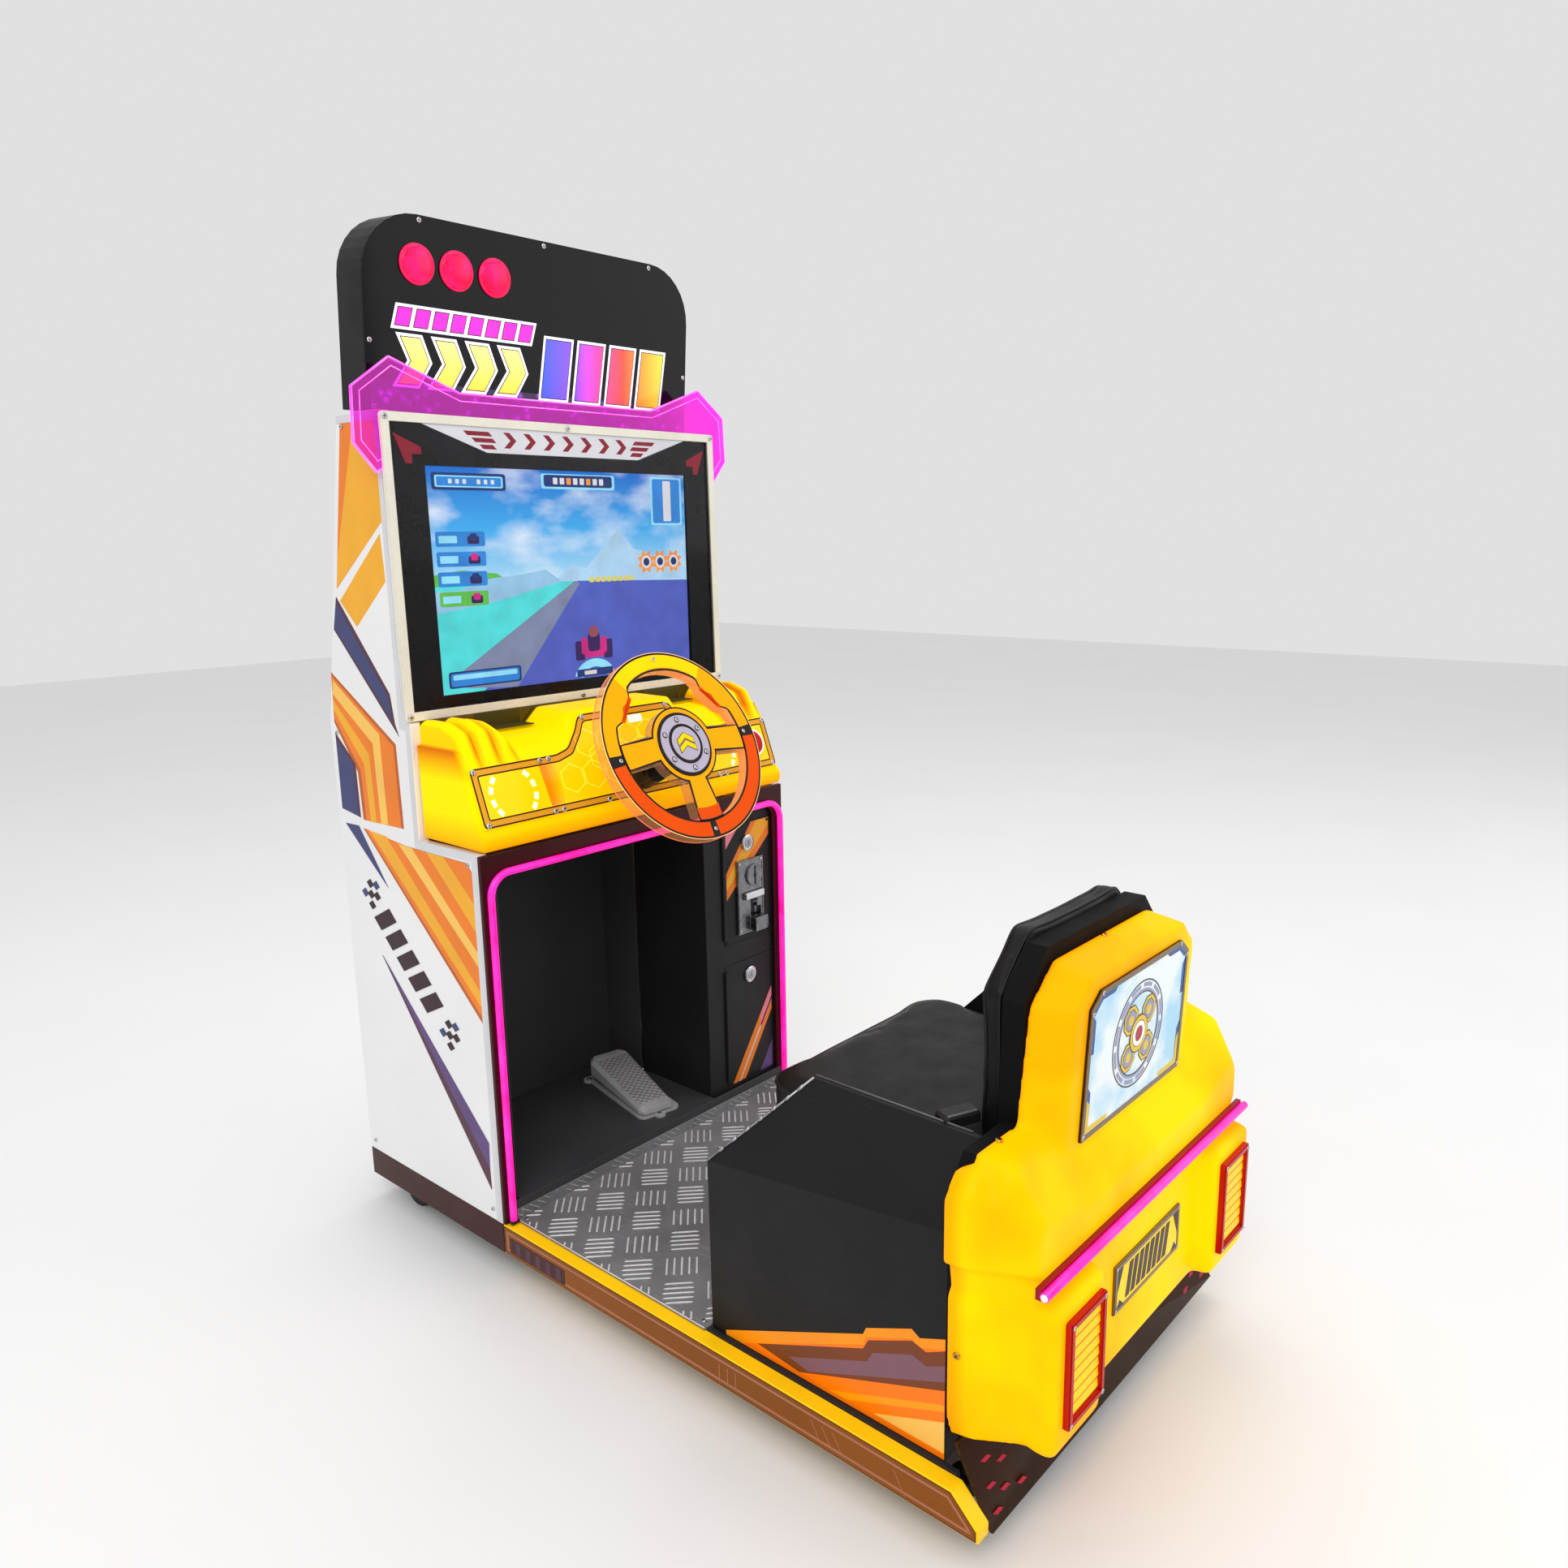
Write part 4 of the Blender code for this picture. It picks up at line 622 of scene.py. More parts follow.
RIB_PITCH, RIBS_START = 0.030, 0.190
RIB_RISE, RIB_DEPTH = 0.0105, 0.0102
END_START, END_SHARE = 0.270, 0.45
console = moulded("console_shell", "console_moulding", CONSOLE, 0.003, 7)
for vertex in console.data.vertices:
    x, y, z = vertex.co
    side, apart = math.copysign(1, x), abs(x)
    fade = ramped(z, 0.695, 0.740) * ramped(y, 0.236, 0.266)
    if apart > RIBS_START and fade:
        phase = ((apart - RIBS_START) / RIB_PITCH) % 1.0
        wave = math.sin(math.pi * phase) ** 0.6 - 0.75
        vertex.co.z += RIB_RISE * wave * fade
        vertex.co.y -= RIB_DEPTH * wave * fade
    # The ends are drawn in beside the bezel.
    if apart > END_START and z > 0.738:
        vertex.co.x = side * (END_START + (apart - END_START) * END_SHARE)
# Painted shade: the ribs' valleys are tinted darker orange, and a dark olive strip along the back edge
# beside the bezel paints the shadow in the gap there. The glow is painted light that brightens the yellow.
aside = CONSOLE.calc("ABSOLUTE", CONSOLE.node("SeparateXYZ", 0, Vector=CONSOLE.place))
valley_shade = CONSOLE.level(CONSOLE.calc("PINGPONG", aside, RIB_PITCH / 2), 0.0040, 0.0145)
valley_shade = CONSOLE.calc("MULTIPLY", valley_shade, CONSOLE.level(aside, RIBS_START, RIBS_START + 0.008))
CONSOLE.tint(CONSOLE.calc("MULTIPLY", valley_shade, CONSOLE.along(2, 0.695, 0.735)), rgb(196, 98, 0))
shade = CONSOLE.calc("MULTIPLY", CONSOLE.along(1, 0.3505, 0.3545), CONSOLE.level(aside, 0.268, 0.262))
shade = CONSOLE.calc("MULTIPLY", shade, CONSOLE.along(2, 0.735, 0.742))
CONSOLE.tint(shade, rgb(66, 54, 0)).glow(0.4)
# Painted shadow: thin dark olive sheets stand in the gaps between the console and the bezel, where there is
# only shade.
gap_shadow = Pile("console_gap_painted_shadow", "black_plastic")
GAP_SHADOW = plain("painted_gap_shadow", rgb(70, 62, 6), 0.5)
for side in (-1, 1):
    x0, x1 = sorted((side * 0.118, side * 0.193))
    gap_shadow.box((x0, 0.330, 0.7463), (x1, 0.3655, 0.7478), GAP_SHADOW)
    gap_shadow.box((x0, 0.3625, 0.7463), (x1, 0.3640, 0.7668), GAP_SHADOW)
gap_shadow.done(bevel=0.0003, segments=1)

# ------------------------------------------------ side panels' printed film

SIDE_ART = [
    (ORANGE, [(0.478, 1.154), (0.394, 1.154), (0.394, 1.027), (0.405, 1.02), (0.525, 0.938)]),
    (AMBER, [(0.446, 1.154), (0.394, 1.154), (0.394, 1.027), (0.405, 1.02), (0.524, 0.94), (0.515, 0.98)]),
    (AMBER, [(0.402, 1.012), (0.398, 0.95), (0.48, 0.888), (0.519, 0.922)]),
    (PLUM, [(0.529, 0.928), (0.411, 0.801), (0.404, 0.761), (0.396, 0.744), (0.543, 0.882)]),
    (NAVY, [(0.531, 0.920), (0.416, 0.796), (0.410, 0.764), (0.542, 0.886)]),
    (RUST, [(0.562, 0.821), (0.407, 0.733), (0.404, 0.616), (0.509, 0.614), (0.513, 0.683), (0.566, 0.749)]),
    (ORANGE, [
        (0.561, 0.816), (0.413, 0.730), (0.410, 0.616), (0.501, 0.614), (0.505, 0.687), (0.566, 0.757)
    ]),
    (AMBER_LIGHT, [
        (0.559, 0.810), (0.447, 0.743), (0.444, 0.616), (0.462, 0.615), (0.466, 0.728), (0.563, 0.79)
    ]),
    (AMBER, [
        (0.564, 0.782), (0.478, 0.712), (0.474, 0.614), (0.489, 0.614), (0.494, 0.697), (0.565, 0.768)
    ]),
    (NAVY, [(0.566, 0.726), (0.524, 0.692), (0.522, 0.617), (0.566, 0.623)]),
    (PLUM, [(0.566, 0.734), (0.518, 0.694), (0.516, 0.616), (0.522, 0.617), (0.524, 0.692), (0.566, 0.726)]),
    (NAVY, [(0.56, 0.602), (0.524, 0.603), (0.458, 0.522)]),
    (RUST, [(0.511, 0.601), (0.402, 0.592), (0.381, 0.592), (0.26, 0.592), (0.248, 0.58), (0.248, 0.373)]),
    (ORANGE, [(0.506, 0.601), (0.402, 0.592), (0.26, 0.592), (0.248, 0.58), (0.248, 0.382)]),
    (AMBER, [(0.495, 0.600), (0.452, 0.598), (0.248, 0.418), (0.248, 0.396)]),
    (AMBER_LIGHT, [(0.420, 0.592), (0.388, 0.592), (0.248, 0.472), (0.248, 0.452)]),
    (AMBER, [(0.352, 0.592), (0.312, 0.592), (0.248, 0.538), (0.248, 0.500)]),
    (PURPLE, [(0.49, 0.415), (0.255, 0.198), (0.257, 0.161)]),
    (PLUM, [(0.49, 0.415), (0.257, 0.161), (0.256, 0.129)]),
]
SIDE_EDGE = [
    (0.486, 1.1645), (0.3835, 1.1645), (0.3835, 0.7655), (0.369, 0.7635), (0.369, 0.6045), (0.2378, 0.607),
    (0.2378, 0.0852),
]
SIDE_STRIP = [
    (0.2478, 0.0852), (0.2478, 0.5965), (0.3785, 0.5935), (0.3785, 0.754), (0.3935, 0.756), (0.3935, 1.1545),
    (0.486, 1.1545),
]
TEXT_UP, TEXT_ALONG = Vector((-0.6937, 0.7203)), Vector((-0.7203, -0.6937))


def side_mark(along, across, length, height, lean):
    """A slanted block on the panel's diagonal band, measured along it from its rear upper end."""
    start = Vector((0.533, 0.529)) + TEXT_ALONG * along + TEXT_UP * across
    corners = [(0, 0), (length, 0), (length + lean, height), (lean, height)]
    return [tuple(start + TEXT_ALONG * a + TEXT_UP * b) for a, b in corners]


for side, sign in SIDES:
    plane = axes((0.2899 * sign, 0, 0), Y, Z, X * sign)
    art = Pile(f"side_print_{side}", "printed_panel")
    for i, (finish, loop) in enumerate(SIDE_ART):
        art.prism(loop, 0.0, 0.00018 + 0.00004 * i, finish, plane)
    art.prism(SIDE_EDGE + SIDE_STRIP, 0.0, 0.0010, PALE_PRINT, plane)
    for k in range(5):
        art.prism(side_mark(0.062 + 0.036 * k, -0.022, 0.024, 0.044, 0.016), 0, 0.0009, DARK_PRINT, plane)
    for along, step in ((0.018, 1), (0.262, -1)):
        for k in range(6):
            row, column = divmod(k, 2)
            place = (along + 0.0115 * row, -0.016 + 0.011 * (2 * column + row % 2))
            art.prism(
                side_mark(*place, 0.0115, 0.011, 0.003), 0, 0.0009, DARK_PRINT if k % 3 else NAVY, plane
            )
    for y, z in (
        (0.560, 0.100), (0.256, 0.100), (0.560, 0.735), (0.256, 0.590), (0.392, 1.150), (0.474, 1.150)
    ):
        art.screw(y, z, 0.001, plane, 0.003)
    art.done()

# ------------------------------------------------ screen bezel, print behind its glass, and the picture

LEAN = math.atan(0.005 / 0.396)
BEZEL = axes((0, 0.365, 0.767), X, (0, math.sin(LEAN), math.cos(LEAN)))
border = Pile("bezel_print", "tinted_glass")
border.frame(
    rect(-0.2845, 0.0115, 0.2845, 0.3845), rect(-0.234, 0.029, 0.234, 0.331), -0.0052, -0.0048, BLACK_PRINT,
    BEZEL
)
border.prism(
    [(-0.136, 0.351), (0.136, 0.351), (0.236, 0.3845), (-0.236, 0.3845)], -0.0049, -0.0046, WHITE_PRINT,
    BEZEL
)
for sign in (-1, 1):
    for k, (reach, length) in enumerate(((0.166, 0.040), (0.154, 0.034), (0.142, 0.022))):
        low = 0.3785 - 0.0085 * k
        bar = slanted(reach - length, low - 0.0058, reach, low, 0.006)
        border.prism(sided(sign, bar), -0.0049, -0.0044, RED_PRINT, BEZEL)
    arrow = [(0.277, 0.371), (0.238, 0.354), (0.238, 0.345), (0.252, 0.345), (0.252, 0.333), (0.262, 0.333)]
    border.prism(sided(sign, arrow), -0.0049, -0.0044, RED_PRINT, BEZEL)
for k in range(7):
    x = -0.108 + 0.0335 * k
    chevron = [(0, 0.358), (0.010, 0.358), (0.021, 0.3685), (0.010, 0.379), (0, 0.379), (0.011, 0.3685)]
    chevron = [(x + along, y) for along, y in chevron]
    border.prism(chevron, -0.0049, -0.0044, RED_PRINT, BEZEL)
border.done()
fixings = Pile("bezel_screws", "chrome")
for x, y in ((-0.289, 0.390), (0, 0.390), (0.289, 0.390), (-0.289, 0.006), (0, 0.006), (0.289, 0.006)):
    fixings.screw(x, y, 0.0, BEZEL, 0.0042)
fixings.done()


def lit(name, colour):
    """A colour on the screen, which shows by its own light alone."""
    made = Finish(name, colour, 0.6)
    made.colour = made.mix(colour, made.level(made.noise(30, 5), 0.3, 0.7, 0.75, 1.15), 0.6, "MULTIPLY")
    return made.set(Base_Color=(0, 0, 0, 1)).glow(1.15)


SKY = Finish("screen_sky", rgb(70, 150, 230), 0.6)
blue = SKY.ramp(
    SKY.along(2, 0.93, 1.1), (0, rgb(186, 232, 250)), (0.5, rgb(66, 176, 240)), (1, rgb(24, 108, 206))
)
clouds = SKY.level(SKY.noise(8, 6, (1, 1, 2.1)), 0.46, 0.7, 0, 0.85)
SKY.colour = SKY.mix(blue, rgb(240, 248, 255), clouds)
SKY.set(Base_Color=(0, 0, 0, 1)).glow(1.1)
SEA = lit("screen_sea", rgb(84, 222, 218))
HILL = lit("screen_hill", rgb(96, 190, 74))
CLIFF = lit("screen_cliff", rgb(150, 196, 226))
PEAK = lit("screen_peaks", rgb(176, 214, 240))
ROAD = lit("screen_road", rgb(84, 98, 190))
SHOULDER = lit("screen_shoulder", rgb(128, 138, 166))
KERB = lit("screen_kerb", rgb(226, 214, 96))
PANEL_BLUE = lit("screen_panel_blue", rgb(48, 134, 214))
PANEL_NAVY = lit("screen_panel_navy", rgb(34, 56, 118))
PANEL_ICE = lit("screen_panel_ice", rgb(150, 226, 248))
KART = lit("screen_kart", rgb(206, 40, 128))
KART_DARK = lit("screen_kart_dark", rgb(54, 34, 88))
FLAME = lit("screen_orange", rgb(255, 156, 60))
PICTURE = axes((-0.234, 0.37735, 0.795), X, Z)
WIDE, TALL, PAINT = 0.468, 0.303, 0.00007
picture = Pile("screen_picture", "printed_panel")


def paint(finish, layer, *points):
    """A flat shape on the screen, in shares of its width and height."""
    loop = [(u * WIDE, v * TALL) for u, v in points]
    picture.prism(loop, 0.0, 0.0001 + PAINT * layer, finish, PICTURE)


def block(finish, layer, u0, v0, u1, v1, radius=0.004):
    """A round-cornered block on the screen."""
    loop = rounded(rect(u0 * WIDE, v0 * TALL, u1 * WIDE, v1 * TALL), radius, 3)
    picture.prism(loop, 0.0, 0.0001 + PAINT * layer, finish, PICTURE)


paint(SKY, 0, (0, 0.4), (1, 0.4), (1, 1), (0, 1))
paint(
    PEAK, 1, (0.42, 0.47), (0.5, 0.56), (0.56, 0.54), (0.64, 0.65), (0.70, 0.73), (0.76, 0.63), (0.84, 0.60),
    (1, 0.52), (1, 0.47)
)
paint(HILL, 2, (0, 0.44), (0.30, 0.46), (0.22, 0.53), (0.10, 0.55), (0, 0.53))
paint(SEA, 3, (0, 0), (0.4, 0), (0.56, 0.48), (0, 0.48))
paint(
    CLIFF, 4, (0, 0.36), (0.2, 0.40), (0.46, 0.48), (0.40, 0.54), (0.30, 0.52), (0.2, 0.51), (0.08, 0.46),
    (0, 0.46)
)
paint(ROAD, 5, (0.15, 0), (1, 0), (1, 0.46), (0.52, 0.48))
paint(SHOULDER, 6, (0, 0.03), (0.27, 0.0), (0.53, 0.47), (0.51, 0.48))
paint(SEA, 7, (0, 0.0), (0.10, 0), (0.05, 0.10), (0, 0.10))
for k in range(8):
    block(KERB, 7, 0.57 + 0.024 * k, 0.47, 0.588 + 0.024 * k, 0.495, 0.001)
block(PANEL_NAVY, 8, 0.02, 0.90, 0.27, 0.975)
block(PANEL_ICE, 9, 0.03, 0.912, 0.26, 0.963, 0.003)
block(PANEL_BLUE, 10, 0.036, 0.918, 0.254, 0.957, 0.002)
block(PANEL_ICE, 8, 0.40, 0.915, 0.69, 0.985)
block(PANEL_NAVY, 9, 0.41, 0.925, 0.68, 0.98)
for k in range(8):
    block(
        WHITE_PRINT if k % 3 != 2 else FLAME, 10, 0.445 + 0.026 * k, 0.937, 0.462 + 0.026 * k, 0.967, 0.001
    )
    if k % 4:
        block(WHITE_PRINT, 11, 0.05 + 0.024 * k, 0.928, 0.062 + 0.024 * k, 0.948, 0.001)
block(PANEL_ICE, 8, 0.845, 0.745, 0.985, 0.985)
block(PANEL_BLUE, 9, 0.853, 0.755, 0.977, 0.977)
block(WHITE_PRINT, 10, 0.90, 0.765, 0.935, 0.968, 0.002)
for k in range(4):
    top = 0.72 - 0.088 * k
    block(PANEL_BLUE if k < 3 else HILL, 8, 0.02, top - 0.065, 0.185, top, 0.003)
    block(PANEL_ICE, 9, 0.03, top - 0.05, 0.03 + 0.06, top - 0.018, 0.001)
    block(KART_DARK, 9, 0.125, top - 0.055, 0.165, top - 0.02, 0.003)
    block(KART if k % 2 else PANEL_NAVY, 10, 0.133, top - 0.04, 0.157, top - 0.008, 0.003)
for k in range(3):
    u, v = 0.815 + 0.062 * k, 0.56
    spikes = [circle(0.019 if j % 2 else 0.012, 1, (0, 0), 22.5 * j, 22.5 * j + 1)[0] for j in range(16)]
    picture.prism([(u * WIDE + x, v * TALL + y) for x, y in spikes], 0, 0.0008, FLAME, PICTURE)
    picture.prism(circle(0.010, 20, (u * WIDE, v * TALL)), 0, 0.00087, WHITE_PRINT, PICTURE)
    picture.prism(circle(0.0062, 16, (u * WIDE, v * TALL)), 0, 0.00094, PANEL_NAVY, PICTURE)
block(PANEL_NAVY, 8, 0.03, 0.025, 0.285, 0.10)
block(PANEL_BLUE, 9, 0.037, 0.033, 0.278, 0.092)
block(PANEL_ICE, 10, 0.045, 0.062, 0.27, 0.085, 0.002)
for side in (-1, 1):
    block(KART_DARK, 9, 0.575 + side * 0.058 - 0.018, 0.09, 0.575 + side * 0.058 + 0.018, 0.185, 0.003)
    block(KART, 11, 0.575 + side * 0.040 - 0.012, 0.12, 0.575 + side * 0.040 + 0.012, 0.20, 0.003)
block(KART, 9, 0.53, 0.10, 0.62, 0.18, 0.006)
block(KART_DARK, 10, 0.55, 0.13, 0.60, 0.22, 0.006)
block(PINK_PRINT, 11, 0.556, 0.20, 0.594, 0.255, 0.008)
gauge = arc_band(0.020, 0.032, 15, 165, (0.575 * WIDE, -0.004))
picture.prism([(x * 1.25 - 0.0672, y) for x, y in gauge], 0, 0.0009, PANEL_ICE, PICTURE)
block(PANEL_NAVY, 12, 0.50, 0.008, 0.65, 0.045, 0.003)
block(WHITE_PRINT, 13, 0.53, 0.016, 0.58, 0.036, 0.001)
picture.done()

# ------------------------------------------------ marquee: lamps, lit graphics and the acrylic wing

TILT = math.atan(0.020 / 0.2455)
MARQUEE = axes((0, 0.421, 1.1675), X, (0, -math.sin(TILT), math.cos(TILT)))
lamp_red = Finish("start_lamp_red", rgb(255, 18, 60), 0.2, Specular_IOR_Level=0.2)
redder = lamp_red.level(lamp_red.noise(40, 3), 0.35, 0.65)
lamp_red.between(rgb(255, 0, 50), rgb(255, 20, 96), redder).glow(0.75)
lamp_rim = plain("start_lamp_rim", rgb(236, 30, 90), 0.2, 0.3)
for name, x in (("left", -0.204), ("middle", -0.1445), ("right", -0.084)):
    lamp = Pile(f"start_lamp_{name}_lens", "red_plastic")
    lamp.lathe(
        [(0.0255, 0.0002), (0.0255, 0.0026), (0.0246, 0.0036), (0.0232, 0.0036)], lamp_rim, MARQUEE, 44,
        (x, 0.186)
    )
    dome = [
        (0.0236 * math.cos(math.radians(a)), 0.003 + 0.0052 * math.sin(math.radians(a)))
        for a in range(0, 91, 15)
    ]
    lamp.lathe([(0.0236, 0.0002)] + dome, lamp_red, MARQUEE, 44, (x, 0.186))
    lamp.done(f"start_lamp_{name}")

rainbow = Finish("marquee_rainbow", rgb(120, 40, 220), 0.2)
RAINBOW = (
    (0, rgb(20, 80, 235)), (0.26, rgb(126, 60, 240)), (0.42, rgb(236, 50, 150)),
    (0.62, rgb(250, 60, 40)), (0.8, rgb(255, 150, 20)), (1, rgb(120, 210, 50)),
)
rainbow.colour = rainbow.ramp(rainbow.along(0, -0.01, 0.245), *RAINBOW)
rainbow.set(Base_Color=rainbow.colour).glow(0.7)
pink_lit = plain("marquee_pink", rgb(244, 40, 190), 0.2, 0.6)
yellow_lit = Finish("marquee_yellow", rgb(255, 226, 40), 0.2)
yellow_lit.between(rgb(250, 196, 20), rgb(255, 244, 130), yellow_lit.along(2, 1.195, 1.27)).glow(0.7)
white_lit = plain("marquee_white", rgb(236, 240, 252), 0.2, 0.55)
bubbles = Finish("marquee_bubbles", rgb(90, 30, 130), 0.2)
bubbles.tint(bubbles.level(bubbles.cells(60), 0.34, 0.40), rgb(30, 12, 56))
bubbles.tint(bubbles.level(bubbles.cells(60), 0.22, 0.16), rgb(176, 70, 204)).glow(0.5)
sign = Pile("marquee_graphics", "marquee_print")
blocks = []
for k in range(8):
    blocks.append((pink_lit, slanted(-0.238 + 0.0275 * k, 0.109, -0.2185 + 0.0275 * k, 0.131, 0.006)))
arrow = [(0, 0.037), (0.028, 0.037), (0.046, 0.066), (0.034, 0.095), (0.006, 0.095), (0.020, 0.066)]
for k in range(4):
    blocks.append((yellow_lit, [(x - 0.236 + 0.052 * k, y) for x, y in arrow]))
for k in range(4):
    x = -0.006 + 0.061 * k
    blocks.append((rainbow, slanted(x, 0.036, x + 0.044, 0.116, 0.010)))
for finish, loop in blocks:
    sign.prism(offset(loop, -0.0048), 0.0, 0.0004, white_lit, MARQUEE)
    sign.prism(offset(loop, -0.0012), 0.0, 0.0006, DARK_PRINT, MARQUEE)
    sign.prism(loop, 0.0, 0.0008, finish, MARQUEE)
sign.prism(rect(-0.276, 0.002, 0.276, 0.040), 0.0, 0.0003, bubbles, MARQUEE)
for x, y in (
    (-0.198, 0.240), (0, 0.240), (0.198, 0.240), (-0.275, 0.0865), (0.275, 0.0865), (-0.272, 0.006),
    (0.272, 0.006)
):
    sign.screw(x, y, 0.0, MARQUEE, 0.0036)
sign.done()

PINK_CLEAR = Finish("pink_acrylic", rgb(245, 90, 225), 0.06)
PINK_CLEAR.bump(PINK_CLEAR.noise(14, 3), 0.0002, 0.3).glow(0.35).clear(rgb(244, 140, 240), 0.16, 0.3)
dress(PINK_CLEAR, "marquee_wing", bevel=0)
pink_edge = Finish("pink_acrylic_edge", rgb(255, 96, 225), 0.2)
pink_edge.colour = pink_edge.mix(
    rgb(250, 40, 205), rgb(255, 150, 235), pink_edge.level(pink_edge.noise(24, 3), 0.35, 0.65)
)
pink_edge.glow(0.85)
WING = [
    (0, 1.136), (0.2825, 1.099), (0.301, 1.087), (0.330, 1.122), (0.327, 1.191), (0.272, 1.231),
    (0.170, 1.1935), (0, 1.1935)
]
FACING = axes((0, 0, 0), X, Z)
wing_line = mirrored(WING)
rim = Pile("marquee_wing_edges", "pink_acrylic")
rim.line(wing_line, 0.0016, -0.3816, -0.3766, pink_edge, FACING)
rim.line(offset(wing_line, 0.010), 0.0012, -0.3766, -0.3763, pink_edge, FACING)
rim.done()

# ------------------------------------------------ neon arch

ARCH_X, ARCH_Y, ARCH_TOP, ARCH_CORNER = 0.280, 0.2244, 0.5785, 0.030
half = [(ARCH_X, 0.0895)] + [(ARCH_X, z / 1000) for z in range(130, 541, 60)]
half += circle(ARCH_CORNER, 9, (ARCH_X - ARCH_CORNER, ARCH_TOP - ARCH_CORNER), 0, 90)
half += [(0.2 - 0.05 * k, ARCH_TOP) for k in range(4)]
left, right = ([(sign_x * x, ARCH_Y, z) for x, z in half] for sign_x in (-1, 1))
neon_path = left + [(0, ARCH_Y, ARCH_TOP)] + right[::-1]
neon = Pile("neon_arch_tube", "neon_pink")
neon.tube(neon_path, 0.0049, NEON, 16)
for side in (-1, 1):
    x = side * ARCH_X
    neon.box((x - 0.0058, 0.2190, 0.0865), (x + 0.0058, 0.2296, 0.0900), BLACK_PLASTIC)
neon.done("neon_arch")

# ------------------------------------------------ console's printed instrument film and start button

SLOPE = math.atan(0.0287 / 0.077)
DASH = axes((0, 0.2293, 0.638), X, (0, math.sin(SLOPE), math.cos(SLOPE)))
# The film's prints glow: painted light that brightens them.
film = Finish(
    "film_yellow", rgb(255, 206, 0), 0.26, Specular_IOR_Level=0.12
).weather(0.03, 12, 900, 0.00002, 0.05)
film.glow(0.3)
film_line = plain("film_line", rgb(50, 34, 0), 0.3, Specular_IOR_Level=0.1)
film_hex = plain("film_hexagon", rgb(255, 232, 70), 0.2, 0.5)
film_band = plain("film_band", rgb(230, 160, 36), 0.3, 0.06, Specular_IOR_Level=0.1)
film_warm = Finish("film_orange", rgb(255, 150, 0), 0.22, Specular_IOR_Level=0.25)
film_warm.between(rgb(255, 136, 0), rgb(255, 192, 0), film_warm.along(0, -0.163, -0.146)).glow(0.3)
film_pale = plain("film_pale", rgb(255, 250, 190), 0.2, 0.8)
dress(film, "console_overlay", bevel=0.0004)
HALF = [
    (0.279, 0), (0.279, 0.081), (0.139, 0.081), (0.1175, 0.087), (0.098, 0.110), (0.088, 0.127),
    (0.0777, 0.131)
]
outline = mirrored(HALF)
band_edge = rounded(offset(outline, 0.0006), 0.006, 3)
band_inner = rounded(offset(outline, 0.0098), 0.004, 3)
dash = Pile("console_print", "printed_overlay")
dash.frame(band_edge, band_inner, 0.0, 0.0002, film_band, DASH)
dash.line(band_edge, 0.0021, 0.0, 0.0003, film_line, DASH)
dash.line(band_inner, 0.0019, 0.0, 0.0003, film_line, DASH)
for row in range(4):
    for column in range(14):
        x, y = -0.122 + 0.0388 * column, 0.044 + 0.0225 * row
        x += 0.0194 * (row % 2)
        too_far = y < 0.032 or y > 0.10 or x > 0.12
        # Higher up the film narrows.
        if too_far or (y > 0.062 and abs(x) > 0.098):
            continue
        dash.line(circle(0.0212, 6, (x, y), 30, 390), 0.0009, 0.0, 0.0002, film_hex, DASH)
for centre in (-0.2215, 0.158):
    for angle in (141, 165, 194, 219, 41, 14, -15, -39):
        band = arc_band(0.0312, 0.0376, angle - 8, angle + 8, (centre, 0.0397), 4)
        dash.prism(band, 0.0, 0.00035, film_pale, DASH)
dash.prism(
    [(-0.168, 0.0105), (-0.145, 0.0105), (-0.145, 0.0705), (-0.172, 0.0705)], 0.0, 0.00025, film_warm, DASH
)
dash.prism(rect(0.002, 0.107, 0.028, 0.118), 0.0, 0.0004, WHITE_PRINT, DASH)
DASH_SCREWS = (
    (0.2715, 0.0045), (0.2735, 0.076), (0.168, 0.0765), (0.154, 0.0765),
    (0.079, 0.126), (0.165, 0.0045), (0.151, 0.0045), (0.071, 0.0045),
)
for x, y in DASH_SCREWS:
    for sign_x in (-1, 1):
        dash.screw(sign_x * x, y, 0.0002, DASH, 0.0041)
dash.done()
button_red = plain("button_red", rgb(206, 0, 8), 0.34, 0.12, Specular_IOR_Level=0.12)
button_line = plain("button_line", rgb(150, 0, 6), 0.3, 0.1)
button = Pile("start_button_cap", "red_plastic", "start_button")
cap = [(0.0176, 0.0055), (0.0180, 0.0064), (0.0172, 0.0074), (0.0150, 0.0086), (0.010, 0.0095), (0, 0.0099)]
BUTTON_X, BUTTON_Y, RIDGE_PITCH, RIDGED_RADIUS = 0.237, 0.042, 0.0036, 0.0135
button.lathe(cap, button_red, DASH, 40, (BUTTON_X, BUTTON_Y))
for k in range(-3, 4):
    reach, y = math.sqrt(RIDGED_RADIUS ** 2 - (RIDGE_PITCH * k) ** 2), BUTTON_Y + RIDGE_PITCH * k
    low, high = (BUTTON_X - reach, y - 0.0007, 0.0080), (BUTTON_X + reach, y + 0.0007, 0.01)
    button.box(low, high, button_line, DASH)
button.done("start_button", bevel=0.0002, segments=1)

# ------------------------------------------------ steering wheel

WHEEL_LEAN = math.radians(27)
WHEEL = axes((0, 0.149, 0.719), X, (0, math.sin(WHEEL_LEAN), math.cos(WHEEL_LEAN)))
RIM_INNER, GRIP_DEPTH, HUB_EDGE = 0.112, 0.013, 0.054
GRIPS = (38, 142)


def inner_radius(angle):
    """The rim's inner edge, drawn in at the two grips."""
    away = min(abs(angle - grip) for grip in GRIPS)
    return RIM_INNER - GRIP_DEPTH * ramped(away, 17, 10)


def polar(radius, angle):
    return (radius * math.cos(math.radians(angle)), radius * math.sin(math.radians(angle)))


